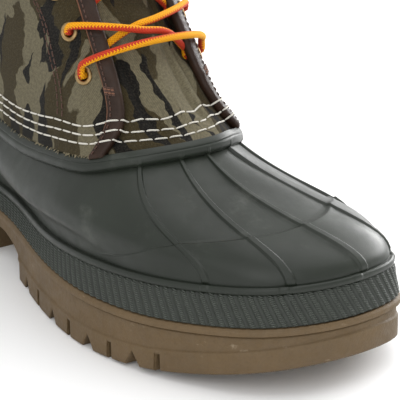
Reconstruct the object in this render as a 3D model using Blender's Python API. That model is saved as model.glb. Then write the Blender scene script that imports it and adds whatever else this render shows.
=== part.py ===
"""Duck boot, right foot: rubber bottom, canvas shaft, tongue, leather bindings, eyelets, lace and sole.

The boot stands on its sole with the toe towards +X. -Y is its lateral side, which is the wearer's right.
Lengths are metres. The origin is on the floor, under the middle of the outsole.

A place round the boot is a row number: 0 at the back of the heel, the table's rows along the lateral side to
the toe tip, then the same rows backwards along the medial side.
"""
from collections import namedtuple
from math import cos, pi, radians, sin

import bmesh
import bpy
import numpy as np

MM = 0.001
GAP = 0.3 * MM

# Driving sizes
LENGTH = 310 * MM
BALL_WIDTH = 107 * MM
SOLE_HEIGHT = 22.9 * MM
TOE_SPRING = 14.0 * MM
SPRING_START = 0.70
COLLAR_LENGTH = 224 * MM
COLLAR_BACK = 9 * MM
COLLAR_HEIGHT = 64 * MM
BOOT_HEIGHT = 188 * MM

# Rubber bottom
RUBBER_WALL = 2.4 * MM
FOXING_HEIGHT = 16 * MM
FOXING_LEAN = 3.1 * MM
FOXING_STEP = 1.4 * MM
BEAD_HEIGHT = 1.9 * MM
BEAD_SWELL = 0.5 * MM
INSTEP_RISE = 12.6 * MM
RIB_WIDTH = 2.4 * MM
RIB_FLANK = 0.7 * MM
RIB_HEIGHT = 0.9 * MM
CAP_STEP = 0.6 * MM
ROLL_HEIGHT = 6.5 * MM
ROLL_SWELL = 2.1 * MM
ROLL_SETBACK = 1.6 * MM
LEDGE_LIP = 0.4 * MM
FLANGE_HEIGHT = 14 * MM
FLANGE_WALL = 1.4 * MM
MARGIN_WIDTH = 12 * MM
MARGIN_WALL = 2.4 * MM
MARGIN_FILLET = 1.2 * MM
RING_PITCH = 17 * MM

# Canvas, tongue, leather
CANVAS_WALL = 1.5 * MM
TONGUE_WALL = 1.5 * MM
TONGUE_RISE = 9 * MM
TONGUE_LAP = 7 * MM
HEM_HEIGHT = 9 * MM
HEM_STEP = 0.5 * MM
HEM_FOOT = 0.004
BINDING_WIDTH = 6.0 * MM
BINDING_WALL = 1.2 * MM

# Eyelets and lace
EYELET_PAIRS = 6
EYELET_SIDES = 8
EYELET_RADIUS = 3.9 * MM
EYELET_BARREL = 2.75 * MM
EYELET_BORE = 2.2 * MM
EYELET_FLANGE = 0.8 * MM
EYELET_BAND = 9.6 * MM
EYELET_FIRST = 31 * MM
EYELET_PITCH = 18 * MM
LACE_SIDES = 6
LACE_RADIUS = 1.45 * MM
LACE_ARCH = 2.8 * MM
LACE_START = 4.6 * MM
LACE_BOW = 8 * MM
BAR_ARCH = 4.2 * MM
BAR_BOW = 14 * MM
LATERAL_CLIMB = 12 * MM
MEDIAL_CLIMB = 5 * MM

# Sole
LIP_HEIGHT = 3.4 * MM
LIP_SWELL = 0.9 * MM
LUG_HEIGHT = 9.0 * MM
LUG_STEP = 0.8 * MM
SOLE_CHAMFER = 1.0 * MM
HEEL_LENGTH = 111 * MM
ARCH_LENGTH = 36 * MM
ARCH_HEIGHT = 14.5 * MM
ARCH_BREAST = 3 * MM
CHANNEL_WIDTH = 3.2 * MM
CHANNEL_DEPTH = 7.0 * MM
NOTCH_WIDTH = 8.0 * MM
NOTCH_REACH = 6.0 * MM
INSOLE_WALL = 3.5 * MM
INSOLE_INSET = 2.6 * MM
INSOLE_GAP = 0.6 * MM

# Rows round the boot. along is a share of LENGTH. lateral and medial are shares of BALL_WIDTH.
# foxing is a share of FOXING_HEIGHT.
Foot = namedtuple("Foot", "name along lateral medial foxing")
FOOT = [
    Foot("heel back", 0.000, 0.000, 0.000, 0.85),
    Foot("heel turn", 0.012, 0.130, 0.130, 0.85),
    Foot("heel corner", 0.050, 0.250, 0.250, 0.84),
    Foot("heel side", 0.120, 0.335, 0.330, 0.80),
    Foot("heel breast", 0.220, 0.356, 0.345, 0.70),
    Foot("waist back", 0.340, 0.335, 0.300, 0.62),
    Foot("waist", 0.450, 0.371, 0.270, 0.60),
    Foot("waist front", 0.560, 0.461, 0.320, 0.68),
    Foot("ball back", 0.660, 0.516, 0.419, 0.86),
    Foot("ball", 0.740, 0.514, 0.481, 0.96),
    Foot("toe joints", 0.820, 0.469, 0.483, 1.00),
    Foot("toes", 0.890, 0.381, 0.453, 1.00),
    Foot("toe corner", 0.945, 0.279, 0.378, 1.00),
    Foot("toe turn", 0.983, 0.141, 0.278, 1.00),
    Foot("toe tip", 1.000, -0.063, 0.064, 1.00),
]

# The rolled collar's lower line on the same rows. Each along is a share of COLLAR_LENGTH from COLLAR_BACK,
# each side a share of BALL_WIDTH and rise a share of COLLAR_HEIGHT. slope is how steeply the rubber
# leaves the collar, in degrees below level, and reach its handle's length, a share of BALL_WIDTH.
Collar = namedtuple("Collar", "lateral_along lateral medial_along medial rise slope reach")
COLLAR = [
    Collar(0.000, 0.000, 0.000, 0.000, 1.350, 88, 0.160),
    Collar(0.010, 0.115, 0.010, 0.115, 1.345, 88, 0.160),
    Collar(0.047, 0.218, 0.047, 0.215, 1.315, 86, 0.165),
    Collar(0.127, 0.310, 0.127, 0.298, 1.235, 82, 0.175),
    Collar(0.255, 0.366, 0.255, 0.345, 1.120, 76, 0.190),
    Collar(0.405, 0.375, 0.405, 0.330, 1.020, 72, 0.190),
    Collar(0.540, 0.395, 0.545, 0.310, 0.960, 66, 0.200),
    Collar(0.665, 0.428, 0.672, 0.305, 0.948, 59, 0.220),
    Collar(0.780, 0.445, 0.782, 0.300, 0.990, 53, 0.235),
    Collar(0.869, 0.434, 0.872, 0.258, 1.030, 47, 0.250),
    Collar(0.924, 0.387, 0.936, 0.174, 1.085, 40, 0.275),
    Collar(0.965, 0.313, 0.968, 0.106, 1.130, 35, 0.295),
    Collar(0.987, 0.225, 0.983, 0.064, 1.150, 31, 0.315),
    Collar(0.997, 0.150, 0.996, 0.000, 1.158, 29, 0.325),
    Collar(1.000, 0.075, 1.000, -0.075, 1.160, 28, 0.328),
]

# Angle of each row round the shaft, in degrees from its front
SHAFT_ANGLES = (180, 172, 160, 143, 124, 105, 88, 72, 57, 45, 34, 24, 15, 7, 0)

# Sections of the shaft above the collar. Alongs are shares of LENGTH, heights of BOOT_HEIGHT, half_width
# and centre of BALL_WIDTH. power shapes the oval, knot is the place up the shaft and throat the row
# that the throat's edges follow.
Level = namedtuple("Level", "name back_along back_height front_along front_height half_width centre"
                            " power knot throat")
COLLAR_KNOT = 0.0
COLLAR_THROAT = 9.72
LEVELS = [
    Level("low instep", 0.026, 0.596, 0.700, 0.491, 0.350, -0.110, 2.7, 0.23, 10.90),
    Level("instep", 0.040, 0.704, 0.627, 0.655, 0.330, -0.120, 2.8, 0.45, 11.35),
    Level("ankle", 0.050, 0.800, 0.540, 0.798, 0.328, -0.085, 2.3, 0.65, 11.40),
    Level("shaft", 0.046, 0.890, 0.503, 0.912, 0.348, -0.055, 2.1, 0.83, 11.35),
    Level("top line", 0.034, 0.980, 0.484, 1.020, 0.375, -0.040, 2.0, 1.00, 11.25),
]

# Ribs over the toe: the row where each leaves the collar, and how many rows it swings on its way down
# to the foxing
Rib = namedtuple("Rib", "row swing")
RIBS = [Rib(11.05, 0.00), Rib(12.70, 0.15), Rib(14.12, 0.20), Rib(15.75, 0.12), Rib(17.95, 0.00)]

# The toe cap's line: at each row, how far up it runs from the foxing to the collar
CapPoint = namedtuple("CapPoint", "row rise")
TOE_CAP = [CapPoint(8.7, 0.05), CapPoint(9.5, 0.18), CapPoint(10.4, 0.37), CapPoint(11.2, 0.45),
           CapPoint(12.7, 0.47), CapPoint(14.3, 0.49), CapPoint(15.8, 0.53), CapPoint(17.5, 0.47),
           CapPoint(18.5, 0.20), CapPoint(19.4, 0.05)]

# Lug channels across the sole and V notches at its sides, as shares of the heel block from the heel's back
# and of the forefoot from the arch
HEEL_CHANNELS = (0.237, 0.517, 0.796)
HEEL_NOTCHES = (0.377, 0.656)
FOREFOOT_CHANNELS = (0.173, 0.369, 0.538, 0.688)
FOREFOOT_NOTCHES = (0.068, 0.272, 0.454, 0.614)

ROWS = len(FOOT)
ROUND = 2 * (ROWS - 1)
TOE_ROW = ROWS - 1
UP = np.array([0.0, 0.0, 1.0])

MATERIALS = {
    "gum rubber": ((0.178, 0.130, 0.085), 0.72, 0.0),
    "green rubber": ((0.046, 0.052, 0.044), 0.38, 0.0),
    "camouflage canvas": ((0.140, 0.120, 0.075), 0.92, 0.0),
    "brown leather": ((0.040, 0.024, 0.018), 0.50, 0.0),
    "antique brass": ((0.380, 0.270, 0.130), 0.38, 1.0),
    "yellow and red cord": ((0.850, 0.400, 0.040), 0.75, 0.0),
    "felt": ((0.200, 0.190, 0.170), 0.95, 0.0),
}


def material(name):
    """Return the named Principled material, making it once."""
    found = bpy.data.materials.get(name)
    if found:
        return found
    colour, roughness, metallic = MATERIALS[name]
    made = bpy.data.materials.new(name)
    made.use_nodes = True
    shader = made.node_tree.nodes["Principled BSDF"]
    shader.inputs["Base Color"].default_value = (*colour, 1.0)
    shader.inputs["Roughness"].default_value = roughness
    shader.inputs["Metallic"].default_value = metallic
    return made


def smoothstep(start, end, value):
    share = np.clip((np.asarray(value, float) - start) / (end - start), 0.0, 1.0)
    return share * share * (3 - 2 * share)


def unit(vectors):
    return vectors / np.linalg.norm(vectors, axis=-1, keepdims=True)


def closed_curve(points):
    """Return a function of row numbers that runs smoothly through a ring of points."""
    points = np.asarray(points, float)
    count = len(points)
    index = np.arange(count)
    system = np.zeros((count, count))
    system[index, index] = 4
    system[index, (index + 1) % count] = 1
    system[index, (index - 1) % count] = 1
    slopes = np.linalg.solve(system, 3 * (np.roll(points, -1, axis=0) - np.roll(points, 1, axis=0)))

    def at(rows):
        rows = np.mod(np.asarray(rows, float), count)
        low = np.floor(rows).astype(int) % count
        high = (low + 1) % count
        share = (rows - np.floor(rows))[..., None]
        first = 1 - 3 * share ** 2 + 2 * share ** 3
        second = 3 * share ** 2 - 2 * share ** 3
        start = share * (1 - share) ** 2
        end = share ** 2 * (share - 1)
        return first * points[low] + second * points[high] + start * slopes[low] + end * slopes[high]

    return at


def ring(lateral, medial):
    """Join the lateral rows, heel to toe, and the medial rows, toe to heel, into one ring."""
    return np.array(list(lateral) + list(medial[1:-1])[::-1])


FOOT_LINE = closed_curve(ring(
    [(r.along * LENGTH, -r.lateral * BALL_WIDTH, r.foxing) for r in FOOT],
    [(r.along * LENGTH, r.medial * BALL_WIDTH, r.foxing) for r in FOOT]))
COLLAR_LINE = closed_curve(ring(
    [(COLLAR_BACK + r.lateral_along * COLLAR_LENGTH, -r.lateral * BALL_WIDTH, r.rise * COLLAR_HEIGHT)
     for r in COLLAR],
    [(COLLAR_BACK + r.medial_along * COLLAR_LENGTH, r.medial * BALL_WIDTH, r.rise * COLLAR_HEIGHT)
     for r in COLLAR]))
COLLAR_HANDLE = closed_curve(ring([(r.slope, r.reach * BALL_WIDTH) for r in COLLAR],
                                  [(r.slope, r.reach * BALL_WIDTH) for r in COLLAR]))
ANGLE_LINE = closed_curve(ring([(cos(radians(a)), -sin(radians(a))) for a in SHAFT_ANGLES],
                               [(cos(radians(a)), sin(radians(a))) for a in SHAFT_ANGLES]))


def outward(curve, rows):
    """Level direction out of a ring, square to it."""
    step = 0.02
    tangent = curve(rows + step) - curve(rows - step)
    return unit(np.stack([tangent[..., 1], -tangent[..., 0], 0 * tangent[..., 0]], -1))


def spring_share(x):
    return np.clip((x / LENGTH - SPRING_START) / (1 - SPRING_START), 0.0, 1.0) ** 2


def sole_top(x):
    return SOLE_HEIGHT + 0.5 * TOE_SPRING * spring_share(x)


def sole_bottom(x):
    return TOE_SPRING * spring_share(x)


def foot_edge(rows, inset, lift):
    """Points inside the foot's outline by inset, at a height over the sole's top."""
    line = FOOT_LINE(rows)
    place = line.copy()
    place[..., 2] = 0
    place = place - outward(FOOT_LINE, rows) * np.asarray(inset)[..., None]
    place[..., 2] = sole_top(place[..., 0]) + lift
    return place


def foxing_height(rows):
    return FOXING_HEIGHT * FOOT_LINE(rows)[..., 2]


def instep(rows, rise):
    """The rubber's plain surface from the foxing, rise 0, to the rolled collar, rise 1."""
    foot = foot_edge(rows, FOXING_LEAN + FOXING_STEP + 0 * rows, foxing_height(rows))
    collar = COLLAR_LINE(rows)
    handle = COLLAR_HANDLE(rows)
    slope = np.radians(handle[..., :1])
    fall = outward(COLLAR_LINE, rows) * np.cos(slope) - UP * np.sin(slope)
    near_foot = foot + UP * INSTEP_RISE
    near_collar = collar + fall * handle[..., 1:2]
    t = np.asarray(rise)[..., None]
    return ((1 - t) ** 3 * foot + 3 * (1 - t) ** 2 * t * near_foot
            + 3 * (1 - t) * t ** 2 * near_collar + t ** 3 * collar)


def level_ring(level, rows):
    """One section of the shaft, an oval that leans forward."""
    turn = ANGLE_LINE(rows)
    turn = turn / np.linalg.norm(turn, axis=-1, keepdims=True)
    ahead = np.sign(turn[..., 0]) * np.abs(turn[..., 0]) ** (2 / level.power)
    aside = np.sign(turn[..., 1]) * np.abs(turn[..., 1]) ** (2 / level.power)
    share = (1 + ahead) / 2
    x = LENGTH * (level.back_along + (level.front_along - level.back_along) * share)
    y = BALL_WIDTH * (level.half_width * aside + level.centre * share)
    z = BOOT_HEIGHT * (level.back_height + (level.front_height - level.back_height) * share)
    return np.stack([x, y, z], -1)


def canvas_foot(rows):
    """The canvas's lower edge, on top of the rolled collar."""
    return COLLAR_LINE(rows) + UP * ROLL_HEIGHT - outward(COLLAR_LINE, rows) * ROLL_SETBACK


KNOTS = np.array([COLLAR_KNOT] + [level.knot for level in LEVELS])


def knot_weights(places):
    """Weights of the sections at places up the shaft, for a natural cubic through them."""
    count = len(KNOTS)
    gaps = np.diff(KNOTS)
    bend = np.zeros((count, count))
    pull = np.zeros((count, count))
    bend[0, 0] = bend[-1, -1] = 1
    for k in range(1, count - 1):
        bend[k, k - 1:k + 2] = gaps[k - 1], 2 * (gaps[k - 1] + gaps[k]), gaps[k]
        pull[k, k - 1:k + 2] = 6 / gaps[k - 1], -6 / gaps[k - 1] - 6 / gaps[k], 6 / gaps[k]
    seconds = np.linalg.solve(bend, pull)
    places = np.asarray(places, float)
    low = np.clip(np.searchsorted(KNOTS, places) - 1, 0, count - 2)
    gap = gaps[low]
    b = ((places - KNOTS[low]) / gap)[..., None]
    a = 1 - b
    identity = np.eye(count)
    curve = (a ** 3 - a) * seconds[low] + (b ** 3 - b) * seconds[low + 1]
    return a * identity[low] + b * identity[low + 1] + curve * (gap[..., None] ** 2) / 6


def shaft_surface(rows, places):
    """The canvas's outer surface, closed right round, at places from 0, its foot, to 1, the top line."""
    rows, places = np.broadcast_arrays(np.asarray(rows, float), np.asarray(places, float))
    sections = np.stack([canvas_foot(rows)] + [level_ring(level, rows) for level in LEVELS], -2)
    return (knot_weights(places)[..., None] * sections).sum(-2)


def normals(surface, first, second):
    """Directions out of a surface of two numbers."""
    step = 0.004
    along = surface(first + step, second) - surface(first - step, second)
    up = surface(first, second + step) - surface(first, second - step)
    return unit(np.cross(along, up))


def shaft_layer(rows, places, depth):
    """The shaft's surface moved inward by depth."""
    rows, places = np.broadcast_arrays(np.asarray(rows, float), np.asarray(places, float))
    depth = np.broadcast_to(depth, rows.shape)
    return shaft_surface(rows, places) - normals(shaft_surface, rows, places) * depth[..., None]


THROAT_ROWS = np.array([COLLAR_THROAT] + [level.throat for level in LEVELS])


def throat_row(places):
    """Row of the lateral edge of the throat. The medial edge is its mirror in the rows."""
    return (knot_weights(places) * THROAT_ROWS).sum(-1)


def finish(mesh_maker, name, finish_name):
    """Turn a bmesh into a named object with its material, smooth where the surface is."""
    bmesh.ops.remove_doubles(mesh_maker, verts=mesh_maker.verts, dist=1e-7)
    bmesh.ops.triangulate(mesh_maker, faces=mesh_maker.faces, quad_method="SHORT_EDGE")
    bmesh.ops.recalc_face_normals(mesh_maker, faces=mesh_maker.faces)
    mesh = bpy.data.meshes.new(name)
    mesh_maker.to_mesh(mesh)
    mesh_maker.free()
    mesh.shade_smooth()
    mesh.set_sharp_from_angle(angle=radians(35))
    thing = bpy.data.objects.new(name, mesh)
    bpy.context.collection.objects.link(thing)
    mesh.materials.append(material(finish_name))
    return thing


def skin(mesh_maker, grid, close_rings, close_stack):
    """Cover a grid of points with faces. Rings and the stack of rings may close on themselves."""
    stack, around = grid.shape[:2]
    verts = [[mesh_maker.verts.new(point) for point in row] for row in grid]
    for j in range(stack if close_stack else stack - 1):
        low, high = verts[j], verts[(j + 1) % stack]
        for i in range(around if close_rings else around - 1):
            k = (i + 1) % around
            mesh_maker.faces.new((low[i], low[k], high[k], high[i]))
    return verts


def columns():
    """Rows round the boot where the rubber bottom has a line of points, with each rib's four lines."""
    corners = np.arange(ROUND + 1.0)
    spread = np.linalg.norm(np.diff(foot_edge(corners, 0 * corners, 0), axis=0), axis=1)
    lines = []
    for low in range(ROUND):
        parts = max(1, round(spread[low] / RING_PITCH))
        lines += [low + k / parts for k in range(parts)]
    ribs = [side for rib in RIBS for side in rib_sides(rib.row)]
    clear = 0.28
    kept = [line for line in lines if min(abs(line - side) for side in ribs) > clear]
    return np.array(sorted(kept + ribs))


def rib_sides(rib):
    """The four rows of a rib's feet and shoulders."""
    row_length = np.linalg.norm(instep(np.array([rib + 0.1]), np.array([0.5]))
                                - instep(np.array([rib - 0.1]), np.array([0.5]))) / 0.2
    shoulder = RIB_WIDTH / 2 / row_length
    foot = shoulder + RIB_FLANK / row_length
    return rib - foot, rib - shoulder, rib + shoulder, rib + foot


def fanned(rows, rise):
    """Rows shifted so that the ribs swing round the toe on their way down."""
    still = (RIBS[0].row - 2, RIBS[-1].row + 2)
    swing = np.interp(rows, [still[0]] + [rib.row for rib in RIBS] + [still[1]],
                      [0] + [rib.swing for rib in RIBS] + [0])
    return rows + swing * (1 - rise)


def rib_share(rows):
    """1 on a rib's flat top and 0 off the ribs."""
    share = np.zeros_like(rows)
    for rib in RIBS:
        low_foot, low_top, high_top, high_foot = rib_sides(rib.row)
        inside = np.minimum((rows - low_foot) / (low_top - low_foot),
                            (high_foot - rows) / (high_foot - high_top))
        share = np.maximum(share, np.clip(inside, 0, 1))
    return share


def cap_rise(rows):
    """How far up the toe cap's line runs, at rows round the boot."""
    return np.interp(rows, [point.row for point in TOE_CAP], [point.rise for point in TOE_CAP])


def cap_share(rows):
    """1 round the toe, fading out where the toe cap's line meets the foxing."""
    first, last = TOE_CAP[0].row, TOE_CAP[-1].row
    return smoothstep(first, first + 0.8, rows) * smoothstep(last, last - 0.8, rows)


def shell_outside(rows):
    """Rings of the rubber bottom's outer face, from the sole to the top of the flange."""
    tall = foxing_height(rows)
    flat = 0 * rows
    rings = [
        foot_edge(rows, flat, flat + GAP),
        foot_edge(rows, flat + FOXING_LEAN * 0.45, tall * 0.5),
        foot_edge(rows, flat + FOXING_LEAN * 0.85, tall - BEAD_HEIGHT),
        foot_edge(rows, flat + FOXING_LEAN * 0.85 - BEAD_SWELL, tall - BEAD_HEIGHT * 0.7),
        foot_edge(rows, flat + FOXING_LEAN, tall - BEAD_HEIGHT * 0.05),
    ]
    cap = cap_rise(rows)
    raised = CAP_STEP * cap_share(rows)
    edge = 0.014
    below = [cap * share for share in (0.02, 0.35, 0.7)] + [cap - edge]
    above = [cap + edge] + [cap + (1 - cap) * share for share in (0.2, 0.42, 0.65, 0.85, 1.0)]
    for rise, lifted in [(r, True) for r in below] + [(r, False) for r in above]:
        rib = RIB_HEIGHT * rib_share(rows) * smoothstep(-0.02, 0.06, rise)
        relief = rib + (raised if lifted else 0)
        line = fanned(rows, rise)
        rings.append(instep(line, rise) + normals(instep, line, rise) * relief[..., None])
    out = outward(COLLAR_LINE, rows)
    collar = COLLAR_LINE(rows)
    for swell, rise in ((0.75, 0.14), (1.0, 0.42), (0.62, 0.78)):
        rings.append(collar + out * ROLL_SWELL * swell - out * ROLL_SETBACK * rise + UP * ROLL_HEIGHT * rise)
    rings.append(canvas_foot(rows) + out * LEDGE_LIP - UP * 2 * GAP)
    depth = CANVAS_WALL + 2 * GAP + tongue_room(rows)
    rings.append(shaft_layer(rows, flat, depth) - UP * 2 * GAP)
    for place in flange_places()[1:]:
        rings.append(shaft_layer(rows, flat + place, depth))
    return rings


def flange_places():
    """Places up the shaft of the flange's rings of points, which the canvas shares."""
    return edge_places(FLANGE_HEIGHT * np.array([0.0, 0.5, 1.0]))


def tongue_room(rows):
    """Extra depth that the flange leaves for the tongue at the front."""
    reach = lap_columns(flange_places())[0, 0] - 1.1
    share = smoothstep(reach - 0.8, reach, rows) * smoothstep(ROUND - reach + 0.8, ROUND - reach, rows)
    return (TONGUE_WALL + 3 * GAP) * share


def shell_inside(rows):
    """Rings of the rubber bottom's inner face, from the flange's top down to the turned-in margin."""
    flat = 0 * rows
    depth = CANVAS_WALL + 2 * GAP + tongue_room(rows) + FLANGE_WALL
    rings = [shaft_layer(rows, flat + place, depth) for place in flange_places()[::-1]]
    for rise in (0.95, 0.74, 0.52, 0.32, 0.15, 0.0):
        rings.append(instep(rows, flat + rise) - normals(instep, rows, flat + rise) * RUBBER_WALL)
    under = FOXING_LEAN + FOXING_STEP + RUBBER_WALL
    rings.append(foot_edge(rows, flat + under, flat + GAP + MARGIN_WALL + MARGIN_FILLET))
    rings.append(foot_edge(rows, flat + under + MARGIN_FILLET, flat + GAP + MARGIN_WALL))
    rings.append(foot_edge(rows, flat + under + MARGIN_WIDTH, flat + GAP + MARGIN_WALL))
    rings.append(foot_edge(rows, flat + under + MARGIN_WIDTH, flat + GAP))
    return rings


def make_shell():
    rows = columns()
    maker = bmesh.new()
    skin(maker, np.array(shell_outside(rows) + shell_inside(rows)), True, True)
    return finish(maker, "shell", "green rubber")


def sole_prism(maker, profile, low_y, high_y):
    """A cutter: a closed profile in X and Z, extruded across the boot."""
    near = [maker.verts.new((x, low_y, z)) for x, z in profile]
    far = [maker.verts.new((x, high_y, z)) for x, z in profile]
    count = len(profile)
    maker.faces.new(near)
    maker.faces.new(far[::-1])
    for i in range(count):
        k = (i + 1) % count
        maker.faces.new((near[k], near[i], far[i], far[k]))


def cut(thing, maker, name):
    """Cut a cutter's shapes out of an object."""
    bmesh.ops.recalc_face_normals(maker, faces=maker.faces)
    mesh = bpy.data.meshes.new(name)
    maker.to_mesh(mesh)
    maker.free()
    cutter = bpy.data.objects.new(name, mesh)
    bpy.context.collection.objects.link(cutter)
    cutter.hide_render = True
    cutter.display_type = "WIRE"
    modifier = thing.modifiers.new(name, "BOOLEAN")
    modifier.operation = "DIFFERENCE"
    modifier.solver = "EXACT"
    modifier.object = cutter
    return cutter


def sole_side(rows, swell, height):
    """A ring of the sole's side, swollen out of the foot's outline."""
    line = FOOT_LINE(rows)
    place = line + outward(FOOT_LINE, rows) * swell
    place[..., 2] = height
    return place


def sole_rows():
    """The same rows on both sides of the sole, so that each pair lies straight across it."""
    half = np.arange(0, TOE_ROW + 0.01, 0.5)
    return half, np.concatenate([half, ROUND - half[1:-1][::-1]])


def make_sole():
    half, rows = sole_rows()
    x = FOOT_LINE(rows)[..., 0]
    bottom, top = sole_bottom(x), sole_top(x)
    lug_top = bottom + LUG_HEIGHT
    rings = [
        sole_side(rows, -SOLE_CHAMFER, bottom),
        sole_side(rows, 0.0, bottom + SOLE_CHAMFER),
        sole_side(rows, 0.0, lug_top),
        sole_side(rows, -LUG_STEP, lug_top + LUG_STEP),
        sole_side(rows, -LUG_STEP, top - LIP_HEIGHT),
        sole_side(rows, LIP_SWELL * 0.7, top - LIP_HEIGHT * 0.85),
        sole_side(rows, LIP_SWELL, top - LIP_HEIGHT * 0.5),
        sole_side(rows, LIP_SWELL * 0.5, top - LIP_HEIGHT * 0.12),
        sole_side(rows, -LIP_SWELL * 0.4, top),
    ]
    maker = bmesh.new()
    verts = skin(maker, np.array(rings), True, False)
    count = len(rows)
    for lid in (verts[0], verts[-1]):
        for k in range(len(half) - 1):
            corners = [lid[k], lid[k + 1], lid[(count - k - 1) % count], lid[(count - k) % count]]
            whole = list(dict.fromkeys(corners))
            maker.faces.new(whole)
    sole = finish(maker, "outsole", "gum rubber")
    cut(sole, lug_cutter(), "lug_channels")
    return sole


def tread_marks(heel_shares, forefoot_shares):
    """Distances from the heel's back of cuts in the heel block and in the forefoot."""
    front = HEEL_LENGTH + ARCH_LENGTH
    return ([HEEL_LENGTH * share for share in heel_shares]
            + [front + (LENGTH - front) * share for share in forefoot_shares])


def lug_cutter():
    """Arch, lug channels across the sole, and V notches at both sides."""
    maker = bmesh.new()
    beyond = BALL_WIDTH
    below = -CHANNEL_DEPTH
    front = HEEL_LENGTH + ARCH_LENGTH
    arch = [(HEEL_LENGTH, below), (HEEL_LENGTH, ARCH_HEIGHT * 0.85), (HEEL_LENGTH + ARCH_BREAST, ARCH_HEIGHT)]
    for share in (0.45, 0.7, 0.88, 1.0):
        drop = (share - 0.3) / 0.7
        arch.append((HEEL_LENGTH + ARCH_LENGTH * share, ARCH_HEIGHT * (1 - 0.5 * drop ** 2)))
    arch.append((front, below))
    sole_prism(maker, arch, -beyond, beyond)
    for x in tread_marks(HEEL_CHANNELS, FOREFOOT_CHANNELS):
        deep = sole_bottom(x) + CHANNEL_DEPTH
        half = CHANNEL_WIDTH / 2
        profile = [(x - half, below), (x - half * 0.7, deep), (x + half * 0.7, deep), (x + half, below)]
        sole_prism(maker, profile, -beyond, beyond)
    for x in tread_marks(HEEL_NOTCHES, FOREFOOT_NOTCHES):
        line = foot_at(x)
        deep = sole_bottom(x) + CHANNEL_DEPTH * 0.9
        half = NOTCH_WIDTH / 2
        floor = sole_bottom(x)
        profile = [(x - half * 1.6, floor - half), (x, deep), (x + half * 1.6, floor - half)]
        sole_prism(maker, profile, -beyond, -line[0] + NOTCH_REACH)
        sole_prism(maker, profile, line[1] - NOTCH_REACH, beyond)
    return maker


def foot_at(x):
    """Half widths of the foot's outline, lateral and medial, at a distance from the heel's back."""
    rows = np.linspace(0.3, TOE_ROW - 0.3, 200)
    lateral = FOOT_LINE(rows)
    medial = FOOT_LINE(ROUND - rows)
    return (float(np.interp(x, lateral[:, 0], -lateral[:, 1])),
            float(np.interp(x, medial[:, 0], medial[:, 1])))


def make_insole():
    half, rows = sole_rows()
    inset = FOXING_LEAN + FOXING_STEP + RUBBER_WALL + INSOLE_INSET + 0 * rows
    floor = GAP + MARGIN_WALL + INSOLE_GAP
    low = foot_edge(rows, inset, floor + 0 * rows)
    high = foot_edge(rows, inset, floor + INSOLE_WALL + 0 * rows)
    maker = bmesh.new()
    verts = skin(maker, np.array([low, high]), True, False)
    count = len(rows)
    for lid in verts:
        for k in range(len(half) - 1):
            corners = [lid[k], lid[k + 1], lid[(count - k - 1) % count], lid[(count - k) % count]]
            maker.faces.new(list(dict.fromkeys(corners)))
    return finish(maker, "insole", "felt")


def hem_place():
    """Place up the shaft where the turned hem starts."""
    back = shaft_surface(np.zeros(2), np.array([LEVELS[-2].knot, 1.0]))
    tall = np.linalg.norm(back[1] - back[0])
    return 1 - (1 - LEVELS[-2].knot) * HEM_HEIGHT / tall


def edge_places(distances, start=0.0):
    """Places up the shaft at distances along the throat's lateral edge from the start's place."""
    places = np.linspace(0, 1, 241)
    edge = shaft_surface(throat_row(places), places)
    run = np.concatenate([[0], np.cumsum(np.linalg.norm(np.diff(edge, axis=0), axis=1))])
    return np.interp(np.interp(start, places, run) + distances, run, places)


def eyelet_rings():
    """Places of the rings of points that lie between one eyelet and the next."""
    return edge_places(EYELET_FIRST + (np.arange(EYELET_PAIRS + 1) - 0.5) * EYELET_PITCH)


def shaft_places():
    """Places up the shaft where its pieces have a ring of points, with the hem's foot."""
    hem = hem_place()
    rings = eyelet_rings()
    return np.concatenate([flange_places(), rings, [hem, hem + HEM_FOOT, 1.0]])


def row_width(places):
    """Length of one row beside the throat's edge."""
    edge = throat_row(places)
    step = 0.5
    return np.linalg.norm(shaft_surface(edge, places) - shaft_surface(edge - step, places), axis=-1) / step


def lap_columns(places):
    """Rows of the lines of points beside the lateral throat edge, from the tongue's edge to the throat."""
    edge, lap = throat_row(places), TONGUE_LAP / row_width(places)
    return np.stack([edge - lap, edge - lap / 2, edge], -1)


def band_row(places):
    """Row behind the flat band that holds the eyelets."""
    return throat_row(places) - (TONGUE_LAP + EYELET_BAND) / row_width(places)


def shaft_columns(places):
    """Rows of the shaft's lines of points, from the medial throat edge round the back to the lateral one."""
    free = band_row(places).min() - 0.2
    lines = columns()
    side = lines[(lines > 0) & (lines < free)]
    still = np.concatenate([-side[::-1], [0.0], side])
    lateral = np.concatenate([band_row(places)[:, None], lap_columns(places)], axis=1)
    body = np.broadcast_to(still, (len(places), len(still)))
    return np.concatenate([-lateral[:, ::-1], body, lateral], axis=1)


def hem_lift(places):
    return np.where(places > hem_place() + HEM_FOOT / 2, HEM_STEP, 0.0)


def folded_sheet(outer, inner):
    """A sheet with an outer and an inner face, joined at its low and high edges and at its two ends."""
    maker = bmesh.new()
    verts = skin(maker, np.concatenate([outer, inner[::-1]]), False, True)
    count = len(outer)
    for column in (0, -1):
        for j in range(count - 1):
            face = [verts[j][column], verts[j + 1][column],
                    verts[2 * count - 2 - j][column], verts[2 * count - 1 - j][column]]
            maker.faces.new(face if column == 0 else face[::-1])
    return maker


def make_shaft():
    places = shaft_places()
    rows = shaft_columns(places)
    grid_places = np.broadcast_to(places[:, None], rows.shape)
    outer = shaft_layer(rows, grid_places, -hem_lift(grid_places))
    inner = shaft_layer(rows, grid_places, CANVAS_WALL)
    shaft = finish(folded_sheet(outer, inner), "shaft", "camouflage canvas")
    holes = bmesh.new()
    for spot, axis in eyelet_spots():
        punch(holes, spot, axis, EYELET_BARREL + GAP)
    cut(shaft, holes, "eyelet_holes")
    return shaft


def frame_at(axis):
    """Two directions square to an axis."""
    side = unit(np.cross(UP, axis))
    return side, np.cross(axis, side)


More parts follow.
